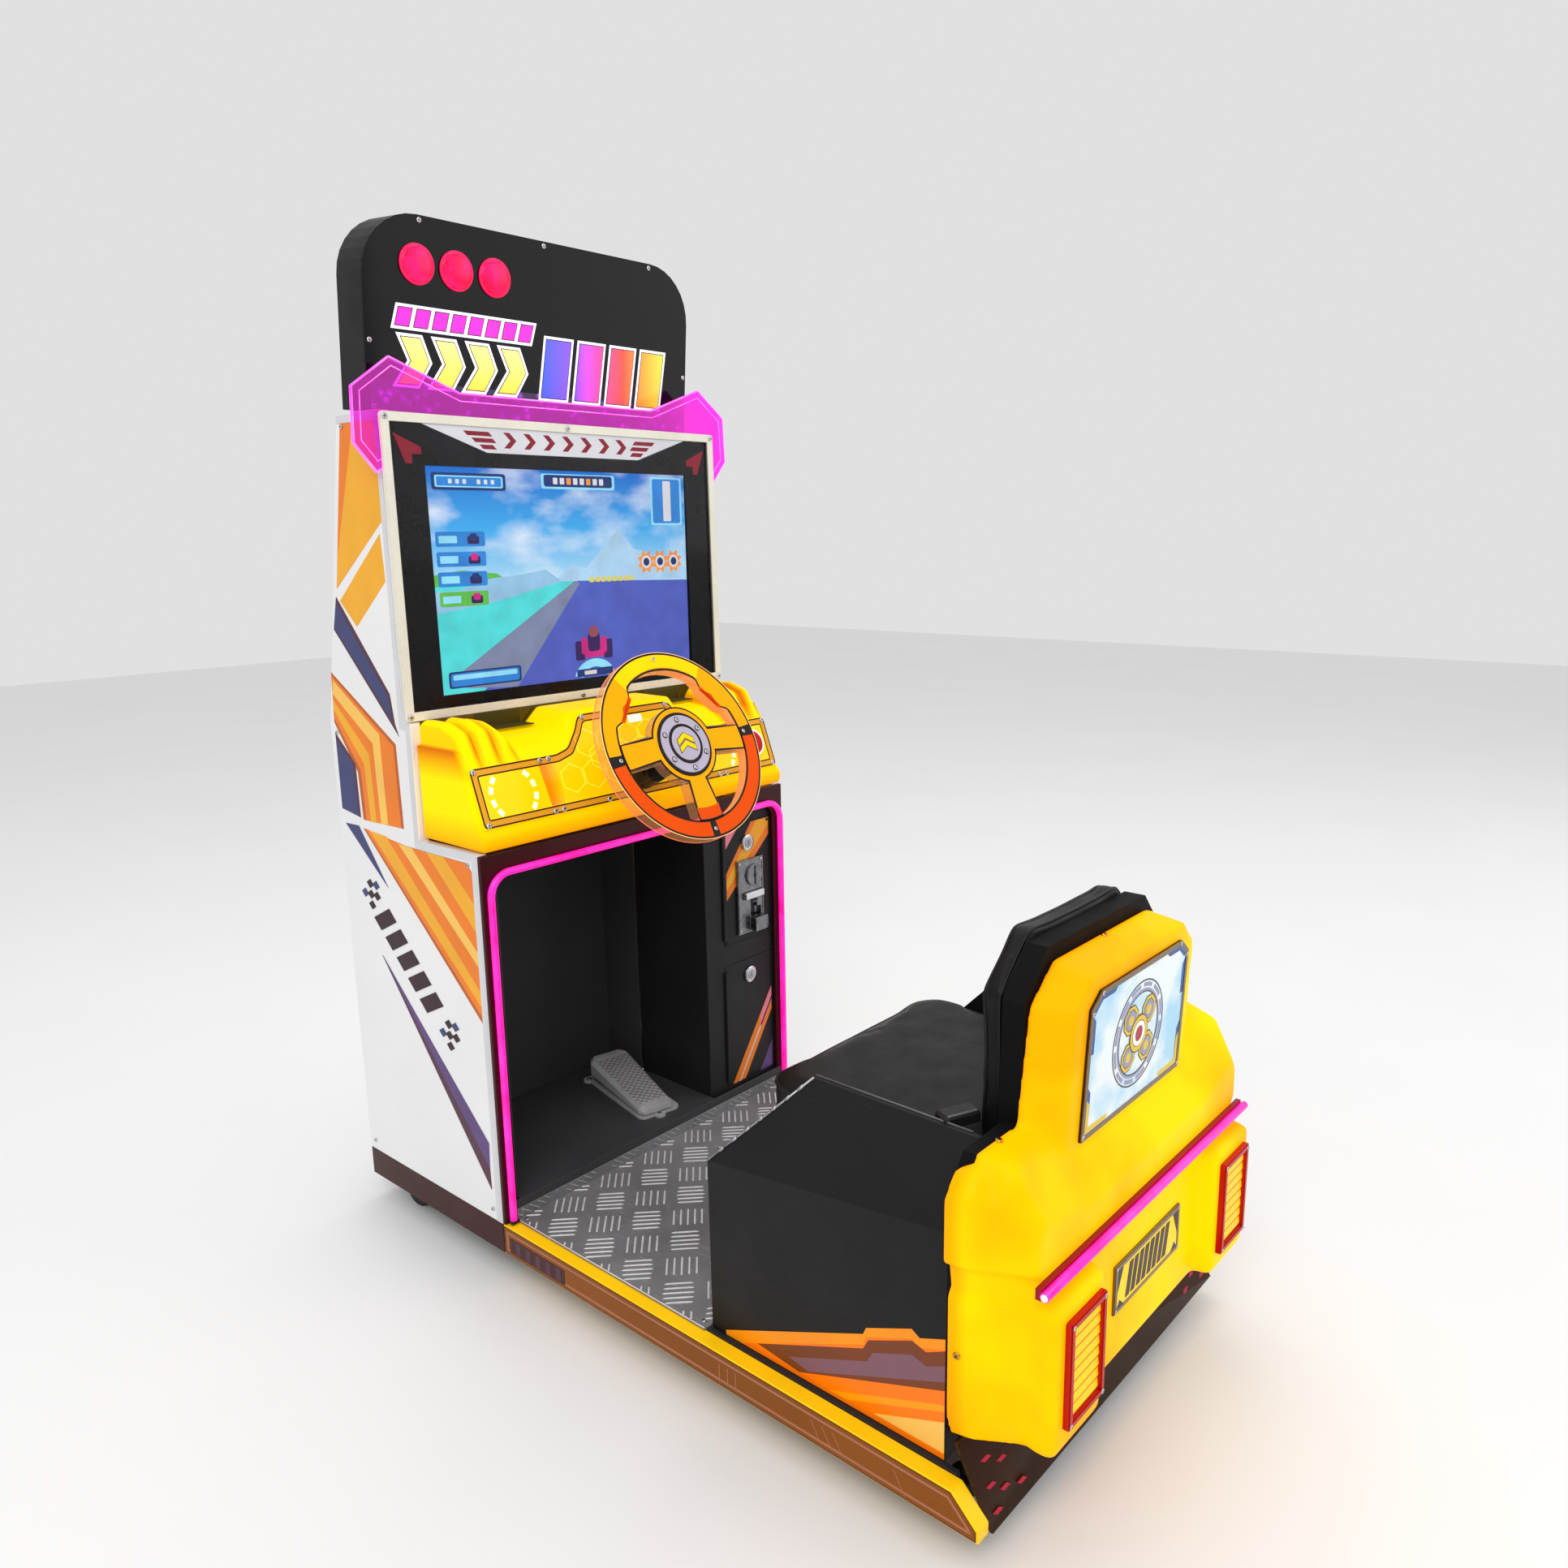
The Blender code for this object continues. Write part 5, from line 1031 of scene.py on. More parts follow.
def rim_band(low, high, start, stop):
    """Part of the rim's face, from low metres outside its inner edge to the radius high."""
    count = max(3, round((stop - start) / 2.5))
    turns = [start + (stop - start) * k / count for k in range(count + 1)]
    return [polar(high, a) for a in turns] + [polar(inner_radius(a % 360) + low, a) for a in turns][::-1]


def spoke(ends, low, high, trim):
    """A spoke's face between two radii, its sides drawn in by trim metres."""
    start, stop, hub_start, hub_stop = ends

    def row(radius):
        share = (radius - HUB_EDGE) / (RIM_INNER - HUB_EDGE)
        inset = math.degrees(trim / radius)
        first = hub_start + (start - hub_start) * share + inset
        last = hub_stop + (stop - hub_stop) * share - inset
        return circle(radius, 6, (0, 0), first, last)

    return row(high) + row(low)[::-1]


# The wheel's prints glow: painted light that brightens them.
wheel_yellow = plain("wheel_yellow", rgb(255, 208, 0), 0.3, 0.14, Specular_IOR_Level=0.04)
wheel_amber = plain("wheel_amber", rgb(250, 168, 0), 0.3, 0.1, Specular_IOR_Level=0.04)
wheel_orange = plain("wheel_orange", rgb(232, 78, 2), 0.3, 0.1, Specular_IOR_Level=0.04)
wheel_line = plain("wheel_line", rgb(24, 8, 2), 0.2, Specular_IOR_Level=0.12)
lavender = plain("wheel_lavender", rgb(184, 176, 196), 0.3, Specular_IOR_Level=0.1)
# Painted highlights: glowing pale gold and rose colours for the acrylic's edges.
wheel_gold_highlight = plain("wheel_gold_painted_highlight", rgb(255, 196, 120), 0.12, 0.35)
wheel_rose_highlight = plain("wheel_rose_painted_highlight", rgb(250, 140, 96), 0.12, 0.35)
face = Pile("steering_wheel_print", "clear_wheel", "steering")
SPOKES = ((-12, 8, -20, 22), (172, 192, 158, 200), (258, 282, 250, 290))
inner_edge = [polar(inner_radius(3 * k) + 0.0004, 3 * k) for k in range(120)]
# Painted highlight: a glowing gold layer under the rim's face, seen through the acrylic.
face.frame(circle(0.1382, 120), inner_edge, -0.0016, -0.0008, wheel_gold_highlight, WHEEL)
face.frame(
    circle(0.1388, 120), [polar(inner_radius(3 * k), 3 * k) for k in range(120)], -0.0008, 0.0001,
    wheel_line, WHEEL
)
for ends in SPOKES:
    face.prism(spoke(ends, 0.050, 0.1145, 0), -0.0008, 0.0001, wheel_line, WHEEL)
face.prism(circle(0.056, 72), -0.0008, 0.0001, wheel_line, WHEEL)
ZONES = (
    (wheel_amber, 5, 54), (wheel_yellow, 54, 127), (wheel_amber, 127, 179.5), (wheel_orange, 186.5, 266.5),
    (wheel_orange, 272, 358),
)
for finish, start, stop in ZONES:
    face.prism(rim_band(0.0029, 0.1354, start, stop), -0.0006, 0.0002, finish, WHEEL)
for middle in GRIPS:
    shade = [polar(inner_radius(a) + 0.0029, a) for a in range(middle - 12, middle + 13, 3)]
    shade += [polar(0.107 - 0.0006 * abs(a - middle), a) for a in range(middle + 12, middle - 13, -3)]
    face.prism(shade, -0.0006, 0.00028, wheel_orange, WHEEL)
face.prism(arc_band(0.1150, 0.1162, 60, 120, count=40), -0.0006, 0.0003, wheel_amber, WHEEL)
face.prism(circle(0.0536, 72), -0.0006, 0.0002, wheel_amber, WHEEL)
for ends in SPOKES:
    face.prism(spoke(ends, 0.045, 0.1106, 0.0028), -0.0006, 0.00022, wheel_amber, WHEEL)
face.prism(spoke(SPOKES[2], 0.094, 0.1106, 0.0028), -0.0006, 0.0003, wheel_orange, WHEEL)
for radius, angle in ((0.1295, 90), (0.1195, 183), (0.1200, 1.5), (0.1262, 269.5)):
    face.screw(*polar(radius, angle), 0.0003, WHEEL, 0.0032)
# Painted highlight rings along the front and back outer edges.
for high, finish in ((0.0004, wheel_gold_highlight), (-0.0168, wheel_rose_highlight)):
    face.frame(circle(0.1392, 120), circle(0.1384, 120), high - 0.0010, high, finish, WHEEL)
face.done()
hub = Pile("wheel_hub_badge", "clear_wheel", "steering")
HUB_RINGS = (
    (0.0474, 0.040, 0.0012, wheel_line), (0.0426, 0.028, 0.0030, lavender),
    (0.0296, 0.024, 0.0036, wheel_line), (0.0250, 0.0, 0.0042, lavender),
)
for outer, hollow, high, finish in HUB_RINGS:
    profile = [(outer, 0.0003), (outer, high - 0.0004), (outer - 0.0005, high), (hollow, high)]
    hub.lathe(profile, finish, WHEEL, 60, smooth=False)
for k in range(6):
    hub.prism(circle(0.0044, 20, polar(0.0360, 60 * k + 92)), 0.0028, 0.0032, wheel_line, WHEEL)
    hub.screw(*polar(0.0360, 60 * k + 92), 0.0031, WHEEL, 0.0034)
for low in (-0.012, -0.001):
    mark = [(-0.0145, 0), (-0.0145, 0.0075), (0, 0.0165), (0.0145, 0.0075), (0.0145, 0), (0, 0.009)]
    mark = [(x, low + y) for x, y in mark]
    hub.prism(offset(mark, -0.0009), 0.004, 0.0046, wheel_line, WHEEL)
    hub.prism(mark, 0.004, 0.0048, wheel_yellow, WHEEL)
hub.done("wheel_hub")

# ------------------------------------------------ coin column's doors and fittings

DOOR = axes((0, 0.2367, 0), X, Z)
coin = Pile("coin_door_print", "black_sheet", "coin_door")
COIN_ART = [
    (ORANGE, 0.0002, [(0.224, 0.5535), (0.2645, 0.5535), (0.2645, 0.525), (0.158, 0.428), (0.158, 0.470)]),
    (AMBER, 0.0003, [(0.236, 0.5535), (0.2645, 0.5535), (0.2645, 0.542), (0.158, 0.445), (0.158, 0.458)]),
    (PINK_PRINT, 0.0002, [(0.158, 0.5535), (0.196, 0.5535), (0.158, 0.512)]),
]
for finish, thick, loop in COIN_ART:
    coin.prism(loop, 0, thick, finish, DOOR)
coin.line(rect(0.1560, 0.3582, 0.2650, 0.5538), 0.0014, 0, 0.0004, BLACK_PLASTIC, DOOR)
for x, z in ((0.1605, 0.3625), (0.2605, 0.3625), (0.2605, 0.549)):
    coin.screw(x, z, 0.0001, DOOR, 0.0026, BLACK_PLASTIC)
coin.done()
cash = Pile("cash_door_print", "black_sheet", "cash_door")
CASH_ART = [
    (ORANGE, 0.0002, [(0.2645, 0.262), (0.2645, 0.222), (0.196, 0.1165), (0.166, 0.1165)]),
    (PALE_PRINT, 0.0003, [(0.2645, 0.244), (0.2645, 0.239), (0.184, 0.1165), (0.181, 0.1165)]),
    (PINK_PRINT, 0.0003, [(0.2645, 0.262), (0.2645, 0.236), (0.236, 0.1935), (0.236, 0.218)]),
    (PURPLE, 0.0002, [(0.2645, 0.166), (0.2645, 0.1165), (0.232, 0.1165)]),
]
for finish, thick, loop in CASH_ART:
    cash.prism(loop, 0, thick, finish, DOOR)
cash.line(rect(0.1560, 0.1163, 0.2650, 0.3238), 0.0014, 0, 0.0004, BLACK_PLASTIC, DOOR)
cash.done()
DULL_CAST = Finish("dull_casting", rgb(78, 78, 81), 0.36, 1).weather(0.2, 90, 420, 0.0003, 0.1)
works = Pile("coin_selector_details", "chrome", "coin_door")
works.lathe(
    [(0.0180, 0.0045), (0.0180, 0.0076), (0.0172, 0.0080), (0.0150, 0.0082)], CAST_CHROME, DOOR, 40,
    (0.222, 0.465)
)
works.lathe([(0.0148, 0.0045), (0.0148, 0.0079), (0, 0.0083)], DULL_CAST, DOOR, 40, (0.222, 0.465))
works.box((0.2206, 0.4495, 0.0045), (0.2234, 0.4805, 0.0088), BLACK_PLASTIC, DOOR)
works.line(rounded(rect(0.1862, 0.3712, 0.2438, 0.4918), 0.004), 0.0022, 0.0044, 0.0053, CAST_CHROME, DOOR)
works.line(rounded(rect(0.212, 0.3735, 0.240, 0.3965), 0.004), 0.002, 0.0044, 0.0180, CAST_CHROME, DOOR)
works.prism(rounded(rect(0.214, 0.3755, 0.238, 0.3945), 0.003), 0.0044, 0.0060, BLACK_PLASTIC, DOOR)
hook = [(0.2150, 0.402), (0.2190, 0.402), (0.2190, 0.420), (0.2290, 0.420), (0.2290, 0.424), (0.2150, 0.424)]
works.prism(hook, 0.004, 0.0056, BLACK_PLASTIC, DOOR)
for x, z in ((0.190, 0.4875), (0.240, 0.4875), (0.190, 0.3755)):
    works.screw(x, z, 0.0046, DOOR, 0.0028)
works.done()
for body, z in (("coin_lock", 0.520), ("cash_lock", 0.297)):
    lock = Pile(f"{body}_face", "chrome", body)
    lock.lathe([(0.0133, 0.0030), (0.0128, 0.0037), (0.0088, 0.0040)], CHROME, DOOR, 36, (0.212, z))
    lock.lathe(
        [(0.0082, 0.0030), (0.0082, 0.0044), (0.0074, 0.0047), (0, 0.0047)], STEEL, DOOR, 32, (0.212, z)
    )
    lock.box((0.2112, z - 0.0042, 0.0044), (0.2128, z + 0.0042, 0.00485), BLACK_PLASTIC, DOOR)
    lock.done()

# ------------------------------------------------ footwell: front frame screws and the pedal's cast detail

ARCH_FACE = axes((0, 0.2297, 0), X, Z)
trim = Pile("front_frame_trim", "maroon_paint")
for side in (-1, 1):
    for z in (0.135, 0.30, 0.46):
        trim.screw(side * 0.2735, z, 0.0001, ARCH_FACE, 0.0028, MAROON)
trim.done()
PEDAL = Matrix.Translation((0.020, 0.258, 0.1147)) @ Matrix.Rotation(math.radians(-12), 4, "Z")
RISE = math.atan((0.045 - 0.0185) / 0.144)
TREADLE = PEDAL @ Matrix.Translation((0, 0.012, 0.0185)) @ Matrix.Rotation(RISE, 4, "X")
GROOVE_SHADE = Finish("casting_groove_painted_shade", rgb(92, 92, 92), 0.6).weather(0.12, 24, 520, 0.0002)
ribs = Pile("pedal_tread", "grey_casting", "pedal")
# Painted shade: crossed dark strips stand for the grooves' shade, each as long as the treadle's face allows.
for k in range(-6, 22):
    for lean in (1, -1):
        ends = []
        for step in range(57):
            x = 0.001 * step - 0.028
            y = 0.0100 * k + lean * (x + 0.028) * 0.9 + (0.050 if lean < 0 else 0)
            if 0.004 < y < 0.140 and abs(x) < 0.0245 + 0.0040 * y / 0.13:
                ends.append((x, y))
        if len(ends) > 4:
            (xa, ya), (xb, yb) = ends[0], ends[-1]
            line = [(xa, ya - 0.0006), (xb, yb - 0.0006), (xb, yb + 0.0006), (xa, ya + 0.0006)]
            ribs.prism(line, -0.0002, 0.0004, GROOVE_SHADE, TREADLE)
ribs.done()
base = Pile("pedal_base_screws", "bare_steel")
for x, y in ((0, -0.004), (-0.030, 0.175), (0.038, 0.175)):
    base.screw(x, y, 0.0040, PEDAL, 0.0042, STEEL)
base.done()

# ------------------------------------------------ tread plate's raised bars

BAR_PITCH, BAR_REACH, BAR_HALF, RISEN_HALF = 0.0096, 0.0215, 0.0014, 0.0010
SIDE_LIMIT, FRONT_LIMIT, FOLD_LIMIT = 0.2720, -0.1375, 0.2245
GROUP_X, GROUP_Y, GROUP_STEP_X, GROUP_STEP_Y = 0.0045, 0.0857, 0.04175, 0.0377
low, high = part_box("checker_plate")
bars = Pile("checker_plate_bars", "checker_aluminium")
# The plate's rear edge is turned up against the shelf's front.
bars.box((-0.2730, 0.2246, high.z - 0.0005), (0.2730, 0.2258, high.z + 0.0150), TREAD)
UPSTAND = axes((0, 0.2246, high.z), X, Z)


def bar_outline(start, stop, out, taper):
    """A thin bar between two points, drawn in over taper of its length at each end."""
    start, stop = Vector(start), Vector(stop)
    early, late = start.lerp(stop, taper), start.lerp(stop, 1 - taper)
    return [tuple(p) for p in (start, early + out, late + out, stop, late - out, early - out)]


def tread_bar(place, reach):
    """One bar, cut off at the plate's edges, and its part that runs on up the turned edge."""
    steps = [reach * (j / 20 - 1) for j in range(41)]
    spots = [(t, place @ Vector((t, 0, 0))) for t in steps]
    spots = [(t, p) for t, p in spots if abs(p.x) < SIDE_LIMIT]
    risen = [Vector((p.x, 0.7 * (p.y - 0.2250))) for t, p in spots if 0.2258 < p.y < 0.2455]
    if len(risen) > 5:
        out = (risen[-1] - risen[0]).orthogonal().normalized() * RISEN_HALF
        bars.prism(bar_outline(risen[0], risen[-1], out, 0.1), 0, 0.0007, BAR_DIM_HIGHLIGHT, UPSTAND)
    flat = [t for t, p in spots if FRONT_LIMIT < p.y < FOLD_LIMIT]
    if len(flat) > 7:
        foot = bar_outline((flat[0], 0), (flat[-1], 0), Vector((0, -BAR_HALF)), 0.08)
        middle = (flat[0] + flat[-1]) / 2
        crown = [(middle + (x - middle) * 0.84, y * 0.55) for x, y in foot]
        rings = [[(x, y, -0.0002) for x, y in foot], [(x, y, 0.0011) for x, y in crown]]
        bars.rings(rings, BAR_HIGHLIGHT, place)


for row in range(-9, 10):
    for column in range(-9, 10):
        x, y = GROUP_X + GROUP_STEP_X * (column - row), GROUP_Y + GROUP_STEP_Y * (column + row)
        turn = math.radians(45 if (row + column) % 2 else -45)
        group = Matrix.Translation((x, y, high.z)) @ Matrix.Rotation(turn, 4, "Z")
        for k in range(-2, 3):
            tread_bar(group @ Matrix.Translation((0, BAR_PITCH * k, 0)), BAR_REACH - 0.0010 * abs(k))
for side in (-1, 1):
    # Painted highlight: a thin light line along each side edge of the plate.
    bars.tube([(side * 0.2728, -0.137, high.z), (side * 0.2728, 0.228, high.z)], 0.0008, BAR_HIGHLIGHT, 8)
    for y in (-0.128, 0.216):
        bars.screw(side * 0.2640, y, high.z, Matrix(), 0.0036, STEEL)
bars.done(bevel=0.0003, segments=1)

# ------------------------------------------------ rails: printed outer faces and the rear base panel

for side, sign_x in SIDES:
    plane = axes((0.2900 * sign_x, 0, 0), Y, Z, X * sign_x)
    rail = Pile(f"rail_print_{side}", "yellow_rail")
    field = [(0.2335, 0.0425), (0.2335, 0.0822), (-0.4955, 0.0822), (-0.5255, 0.0535), (-0.5255, 0.0425)]
    rail.prism(field, 0.0, 0.0003, RAIL_PRINT, plane)
    rail.line(field, 0.0008, 0.0, 0.0005, RAIL_DARK, plane)
    rail.line(offset(field, 0.0055), 0.0030, 0.0, 0.0005, RAIL_LINE, plane)
    rail.prism(rect(0.104, 0.0470, 0.2215, 0.0690), 0.0, 0.0007, RAIL_DARK, plane)
    for k in range(5):
        y = 0.2080 - 0.0215 * k
        rail.prism(slanted(y - 0.0105, 0.0485, y, 0.0675, 0), 0.0, 0.0009, PLUM, plane)
    for y in (-0.178, -0.191, -0.204):
        rail.prism(slanted(y - 0.0012, 0.0470, y, 0.0700, 0), 0.0, 0.0007, RAIL_LINE, plane)
    for y in (-0.330, -0.345, -0.360, -0.440):
        rail.prism(slanted(y - 0.0012, 0.0470, y, 0.0700, 0.014), 0.0, 0.0007, RAIL_LINE, plane)
    rail.done()
strip = Pile("rail_inner_edge", "black_rubber")
for x in (-0.2705, 0.2635):
    strip.box((x, -0.49, 0.074), (x + 0.0070, -0.1395, 0.0862), RUBBER)
strip.done(bevel=0.001)
BASE_REAR = axes((0, -0.532, 0.0406), X, (0, 0.0435, 0.0794))
dashes = Pile("base_panel_dashes", "gold_panel")
DASH_ENDS = (
    (0.254, 0.010), (0.232, 0.021), (0.250, 0.033), (0.222, 0.044), (0.243, 0.056), (0.204, 0.064),
    (0.206, 0.012)
)
for side in (-1, 1):
    for x, y in DASH_ENDS:
        dashes.prism(
            sided(side, slanted(x - 0.012, y, x, y + 0.0042, 0.005)), 0.0, 0.0004, RED_PRINT, BASE_REAR
        )
dashes.done()

# ------------------------------------------------ seat: printed base, cushions and seams

SEAT_ART = [  # painted from the bottom layer up
    (SEAT_GOLD, [
        (-0.1640, 0.0865), (-0.164, 0.092), (-0.367, 0.182), (-0.371, 0.191), (-0.429, 0.217),
        (-0.439, 0.211), (-0.470, 0.224), (-0.470, 0.0865)
    ]),
    (SEAT_ORANGE, [
        (-0.188, 0.0865), (-0.367, 0.1695), (-0.371, 0.180), (-0.429, 0.2055), (-0.439, 0.200),
        (-0.470, 0.2125), (-0.470, 0.0865)
    ]),
    (BROWN_PRINT, [
        (-0.214, 0.098), (-0.367, 0.165), (-0.374, 0.178), (-0.430, 0.204), (-0.447, 0.199), (-0.470, 0.211),
        (-0.470, 0.166), (-0.277, 0.092)
    ]),
    (MAUVE, [
        (-0.262, 0.104), (-0.372, 0.152), (-0.380, 0.166), (-0.430, 0.188), (-0.447, 0.183), (-0.470, 0.194),
        (-0.470, 0.176), (-0.290, 0.099)
    ]),
    (SEAT_ORANGE, [(-0.277, 0.092), (-0.470, 0.166), (-0.470, 0.150), (-0.320, 0.091)]),
    (SEAT_AMBER, [(-0.320, 0.091), (-0.470, 0.150), (-0.470, 0.142), (-0.345, 0.092)]),
    (AMBER_LIGHT, [(-0.381, 0.094), (-0.470, 0.130), (-0.470, 0.094)]),
]
for side, sign_x in SIDES:
    plane = axes((0.2630 * sign_x, 0, 0), Y, Z, X * sign_x)
    art = Pile(f"seat_print_{side}", "printed_panel")
    for i, (finish, loop) in enumerate(SEAT_ART):
        art.prism(loop, -0.0002, 0.0003 + 0.00005 * i, finish, plane)
    art.done()


PAD_SHRINK, CLOTH_FRAMES = 0.985, 20


def upholstered(node, name, finish, low_limit, voxel, cap, rounds):
    """A CAD pad blown up as cloth round its filling, kept flat where it rests and near its solid."""
    made = copied(node, name, voxel)
    low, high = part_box(node)
    middle = (low + high) / 2
    for vertex in made.data.vertices:
        vertex.co = middle + (vertex.co - middle) * PAD_SHRINK
    ease = made.modifiers.new("ease", "SMOOTH")
    ease.factor, ease.iterations = 0.5, rounds
    apply_all(made)
    start = [v.co.copy() for v in made.data.vertices]
    cloth = made.modifiers.new("cloth", "CLOTH")
    settings = cloth.settings
    settings.quality, settings.mass = 6, 0.35
    settings.tension_stiffness = settings.compression_stiffness = 22
    settings.bending_stiffness = 2.5
    settings.use_pressure, settings.uniform_pressure_force = True, 4.0
    settings.effector_weights.gravity = 0
    cloth.collision_settings.use_collision = False
    for step in range(CLOTH_FRAMES):
        bpy.context.scene.frame_set(step + 1)
    apply_all(made)
    bpy.context.scene.frame_set(1)
    # No spot goes further than cap from where it started, or past the face the pad rests on.
    for vertex, before in zip(made.data.vertices, start):
        moved = vertex.co - before
        if moved.length > cap:
            vertex.co = before + moved * (cap / moved.length)
        axis, limit, above = low_limit
        reach = vertex.co[axis] - limit
        if (reach < 0) == above:
            vertex.co[axis] = limit
    # The pad is then fitted to its CAD solid's box.
    for axis in range(3):
        places = [v.co[axis] for v in made.data.vertices]
        first, last = min(places), max(places)
        for vertex in made.data.vertices:
            share = (vertex.co[axis] - first) / (last - first)
            vertex.co[axis] = low[axis] + share * (high[axis] - low[axis])
    finer = made.modifiers.new("finer", "SUBSURF")
    finer.levels = finer.render_levels = 1
    apply_all(made)
    settle(made, finish, node)
    return made


seat = upholstered(
    "seat_cushion", "seat_cushion_pad", VINYL, (2, 0.3003, True), 0.005, 0.008, 8
)
backrest = upholstered(
    "backrest_cushion", "backrest_pad", VINYL, (1, -0.4619, True), 0.004, 0.006, 3
)


def seam(name, pad, path, radius):
    """Piping that follows a path laid onto a pad's surface."""
    tree = BVHTree.FromPolygons([v.co for v in pad.data.vertices], [p.vertices for p in pad.data.polygons])
    laid = []
    for point in path:
        spot, normal, _, _ = tree.find_nearest(Vector(point))
        laid.append(spot + normal * radius * 0.25)
    for _ in range(4):
        laid = [(laid[i - 1] + laid[i] * 2 + laid[(i + 1) % len(laid)]) / 4 for i in range(len(laid))]
    piping = Pile(name, "black_leather")
    piping.tube(laid, radius, PIPING, 8, True)
    return piping.done()


def dense(loop):
    """The outline with points about 6 mm apart."""
    made = []
    for a, b in zip(loop, loop[1:] + loop[:1]):
        count = max(1, round((Vector(b) - Vector(a)).length / 0.006))
        made += [tuple(Vector(a).lerp(Vector(b), k / count)) for k in range(count)]
    return made


low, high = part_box("seat_cushion")
around = dense(rounded(rect(low.x, low.y, high.x, high.y), 0.045))
seam("seat_cushion_top_piping", seat, [(x, y, high.z - 0.010) for x, y in around], 0.0022)
seam("seat_cushion_foot_piping", seat, [(x, y, low.z + 0.012) for x, y in around], 0.0022)
low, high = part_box("backrest_cushion")
PAD_HALF = [(0.150, 0.380), (0.155, 0.548), (0.099, 0.602)]
around = dense(rounded(mirrored(PAD_HALF), 0.010))
seam("backrest_front_piping", backrest, [(x, high.y - 0.004, z) for x, z in around], 0.0020)
seam("backrest_rear_piping", backrest, [(x, low.y + 0.004, z) for x, z in around], 0.0020)

# ------------------------------------------------ seat base: metal edge with notches, a painted highlight line and corner tabs

edge = Pile("seat_front_edge", "bare_steel")
for side in (-1, 1):
    path = [(side * 0.2622, -0.1425, 0.3025), (side * 0.197, -0.248, 0.4108)]
    along = (Vector(path[1]) - Vector(path[0])).normalized()
    over = Vector((side, 0, 0)).cross(along).normalized()
    plane = Matrix((along, over, along.cross(over))).transposed().to_4x4()
    plane.translation = Vector(path[0])
    reach = (Vector(path[1]) - Vector(path[0])).length
    edge.tube(path, 0.0016, STEEL, 8)
    for k in range(1, 8):
        spot = Vector(path[0]).lerp(Vector(path[1]), k / 8)
        edge.tube([spot - along * 0.004, spot + along * 0.004], 0.0024, STEEL, 8)
    inner = [
        (side * 0.1902, -0.150, 0.3012), (side * 0.1902, -0.246, 0.4108), (side * 0.1902, -0.452, 0.4108)
    ]
    # Painted highlight along the arm's inner top edge.
    edge.tube(inner[1:], 0.0011, VINYL_HIGHLIGHT, 8)
edge.done()

# The tabs are a lighter black than the seat's vinyl: painted light for their lit tops.
TAB_VINYL = Finish("tab_vinyl", rgb(26, 26, 28), 0.4, Specular_IOR_Level=0.25).weather(0.14, 40, 500, 0.0001)
tabs = Pile("seat_corner_tabs", "black_leather")
for side in (-1, 1):
    turned = Matrix.Translation(
        (side * 0.1680, -0.4190, 0.4085)
    ) @ Matrix.Rotation(side * math.radians(24), 4, "Z")
    tabs.prism(
        rounded(rect(-0.022, -0.0120, 0.022, 0.0120), 0.005), -0.006, 0.0075, TAB_VINYL, turned, 0.0030
    )
    # Painted highlight along the tab's top edge.
    tabs.tube([(-0.018, -0.0085, 0.0062), (0.018, -0.0085, 0.0062)], 0.0016, VINYL_HIGHLIGHT, 8, place=turned)
tabs.done(bevel=0.0012, segments=2)

# ------------------------------------------------ rear: picture, lamps, light bar, number plate

TIP = math.atan(-0.008 / 0.178)
PANEL = axes((0, -0.530, 0.394), X, (0, math.sin(TIP), math.cos(TIP)))
bronze = Finish("bronze_frame", rgb(96, 74, 34), 0.2, 0.6, Coat_Weight=0.4).weather(0.15, 20, 700, 0.00003)
bronze.edges(rgb(190, 160, 90), 0.0008, 0.6)
# The picture's prints glow a little: painted light.
lit_blue = Finish("picture_blue", rgb(196, 226, 246), 0.18)
lit_blue.between(rgb(150, 206, 236), rgb(226, 236, 240), lit_blue.level(lit_blue.noise(16, 6), 0.38, 0.6))
lit_blue.set(Coat_Weight=0.3).glow(0.12)
deep_blue = plain("picture_deep_blue", rgb(36, 80, 150), 0.18, 0.05)
gold_print = plain("picture_gold", rgb(222, 188, 20), 0.18, 0.1)
grey_ring = plain("picture_grey", rgb(150, 148, 176), 0.18, 0.05)
LOW_CORNER = [
    (0.111, 0.0075), (0.066, 0.0075), (0.060, 0.0125), (0.104, 0.0135), (0.105, 0.040), (0.111, 0.046)
]
HIGH_CORNER = [
    (0.110, 0.142), (0.094, 0.1545), (0.060, 0.1545), (0.066, 0.150), (0.092, 0.150), (0.106, 0.139)
]
inner = mirrored([(0.1173, 0.001), (0.116, 0.145), (0.0957, 0.161)])
picture = Pile("rear_picture", "printed_panel")
picture.prism(inner, 0.0006, 0.0030, BLACK_PLASTIC, PANEL)
picture.line(inner, 0.0055, 0.0028, 0.0042, bronze, PANEL)
picture.prism(offset(inner, 0.0055), 0.0028, 0.0033, lit_blue, PANEL)
for side in (-1, 1):
    for low_y, high_y, finish in (
        (0.0075, 0.060, deep_blue), (0.095, 0.138, deep_blue), (0.0075, 0.018, gold_print)
    ):
        edge = [(0.1105, low_y), (0.1105, high_y), (0.104, high_y - 0.008), (0.104, low_y)]
        picture.prism(sided(side, edge), 0.003, 0.0035, finish, PANEL)
    picture.prism(sided(side, LOW_CORNER), 0.003, 0.0036, gold_print, PANEL)
    picture.prism(sided(side, HIGH_CORNER), 0.003, 0.0036, deep_blue, PANEL)
CENTRE = (0, 0.082)
picture.frame(circle(0.0600, 60, CENTRE), circle(0.0585, 60, CENTRE), 0.003, 0.0036, BLACK_PRINT, PANEL)
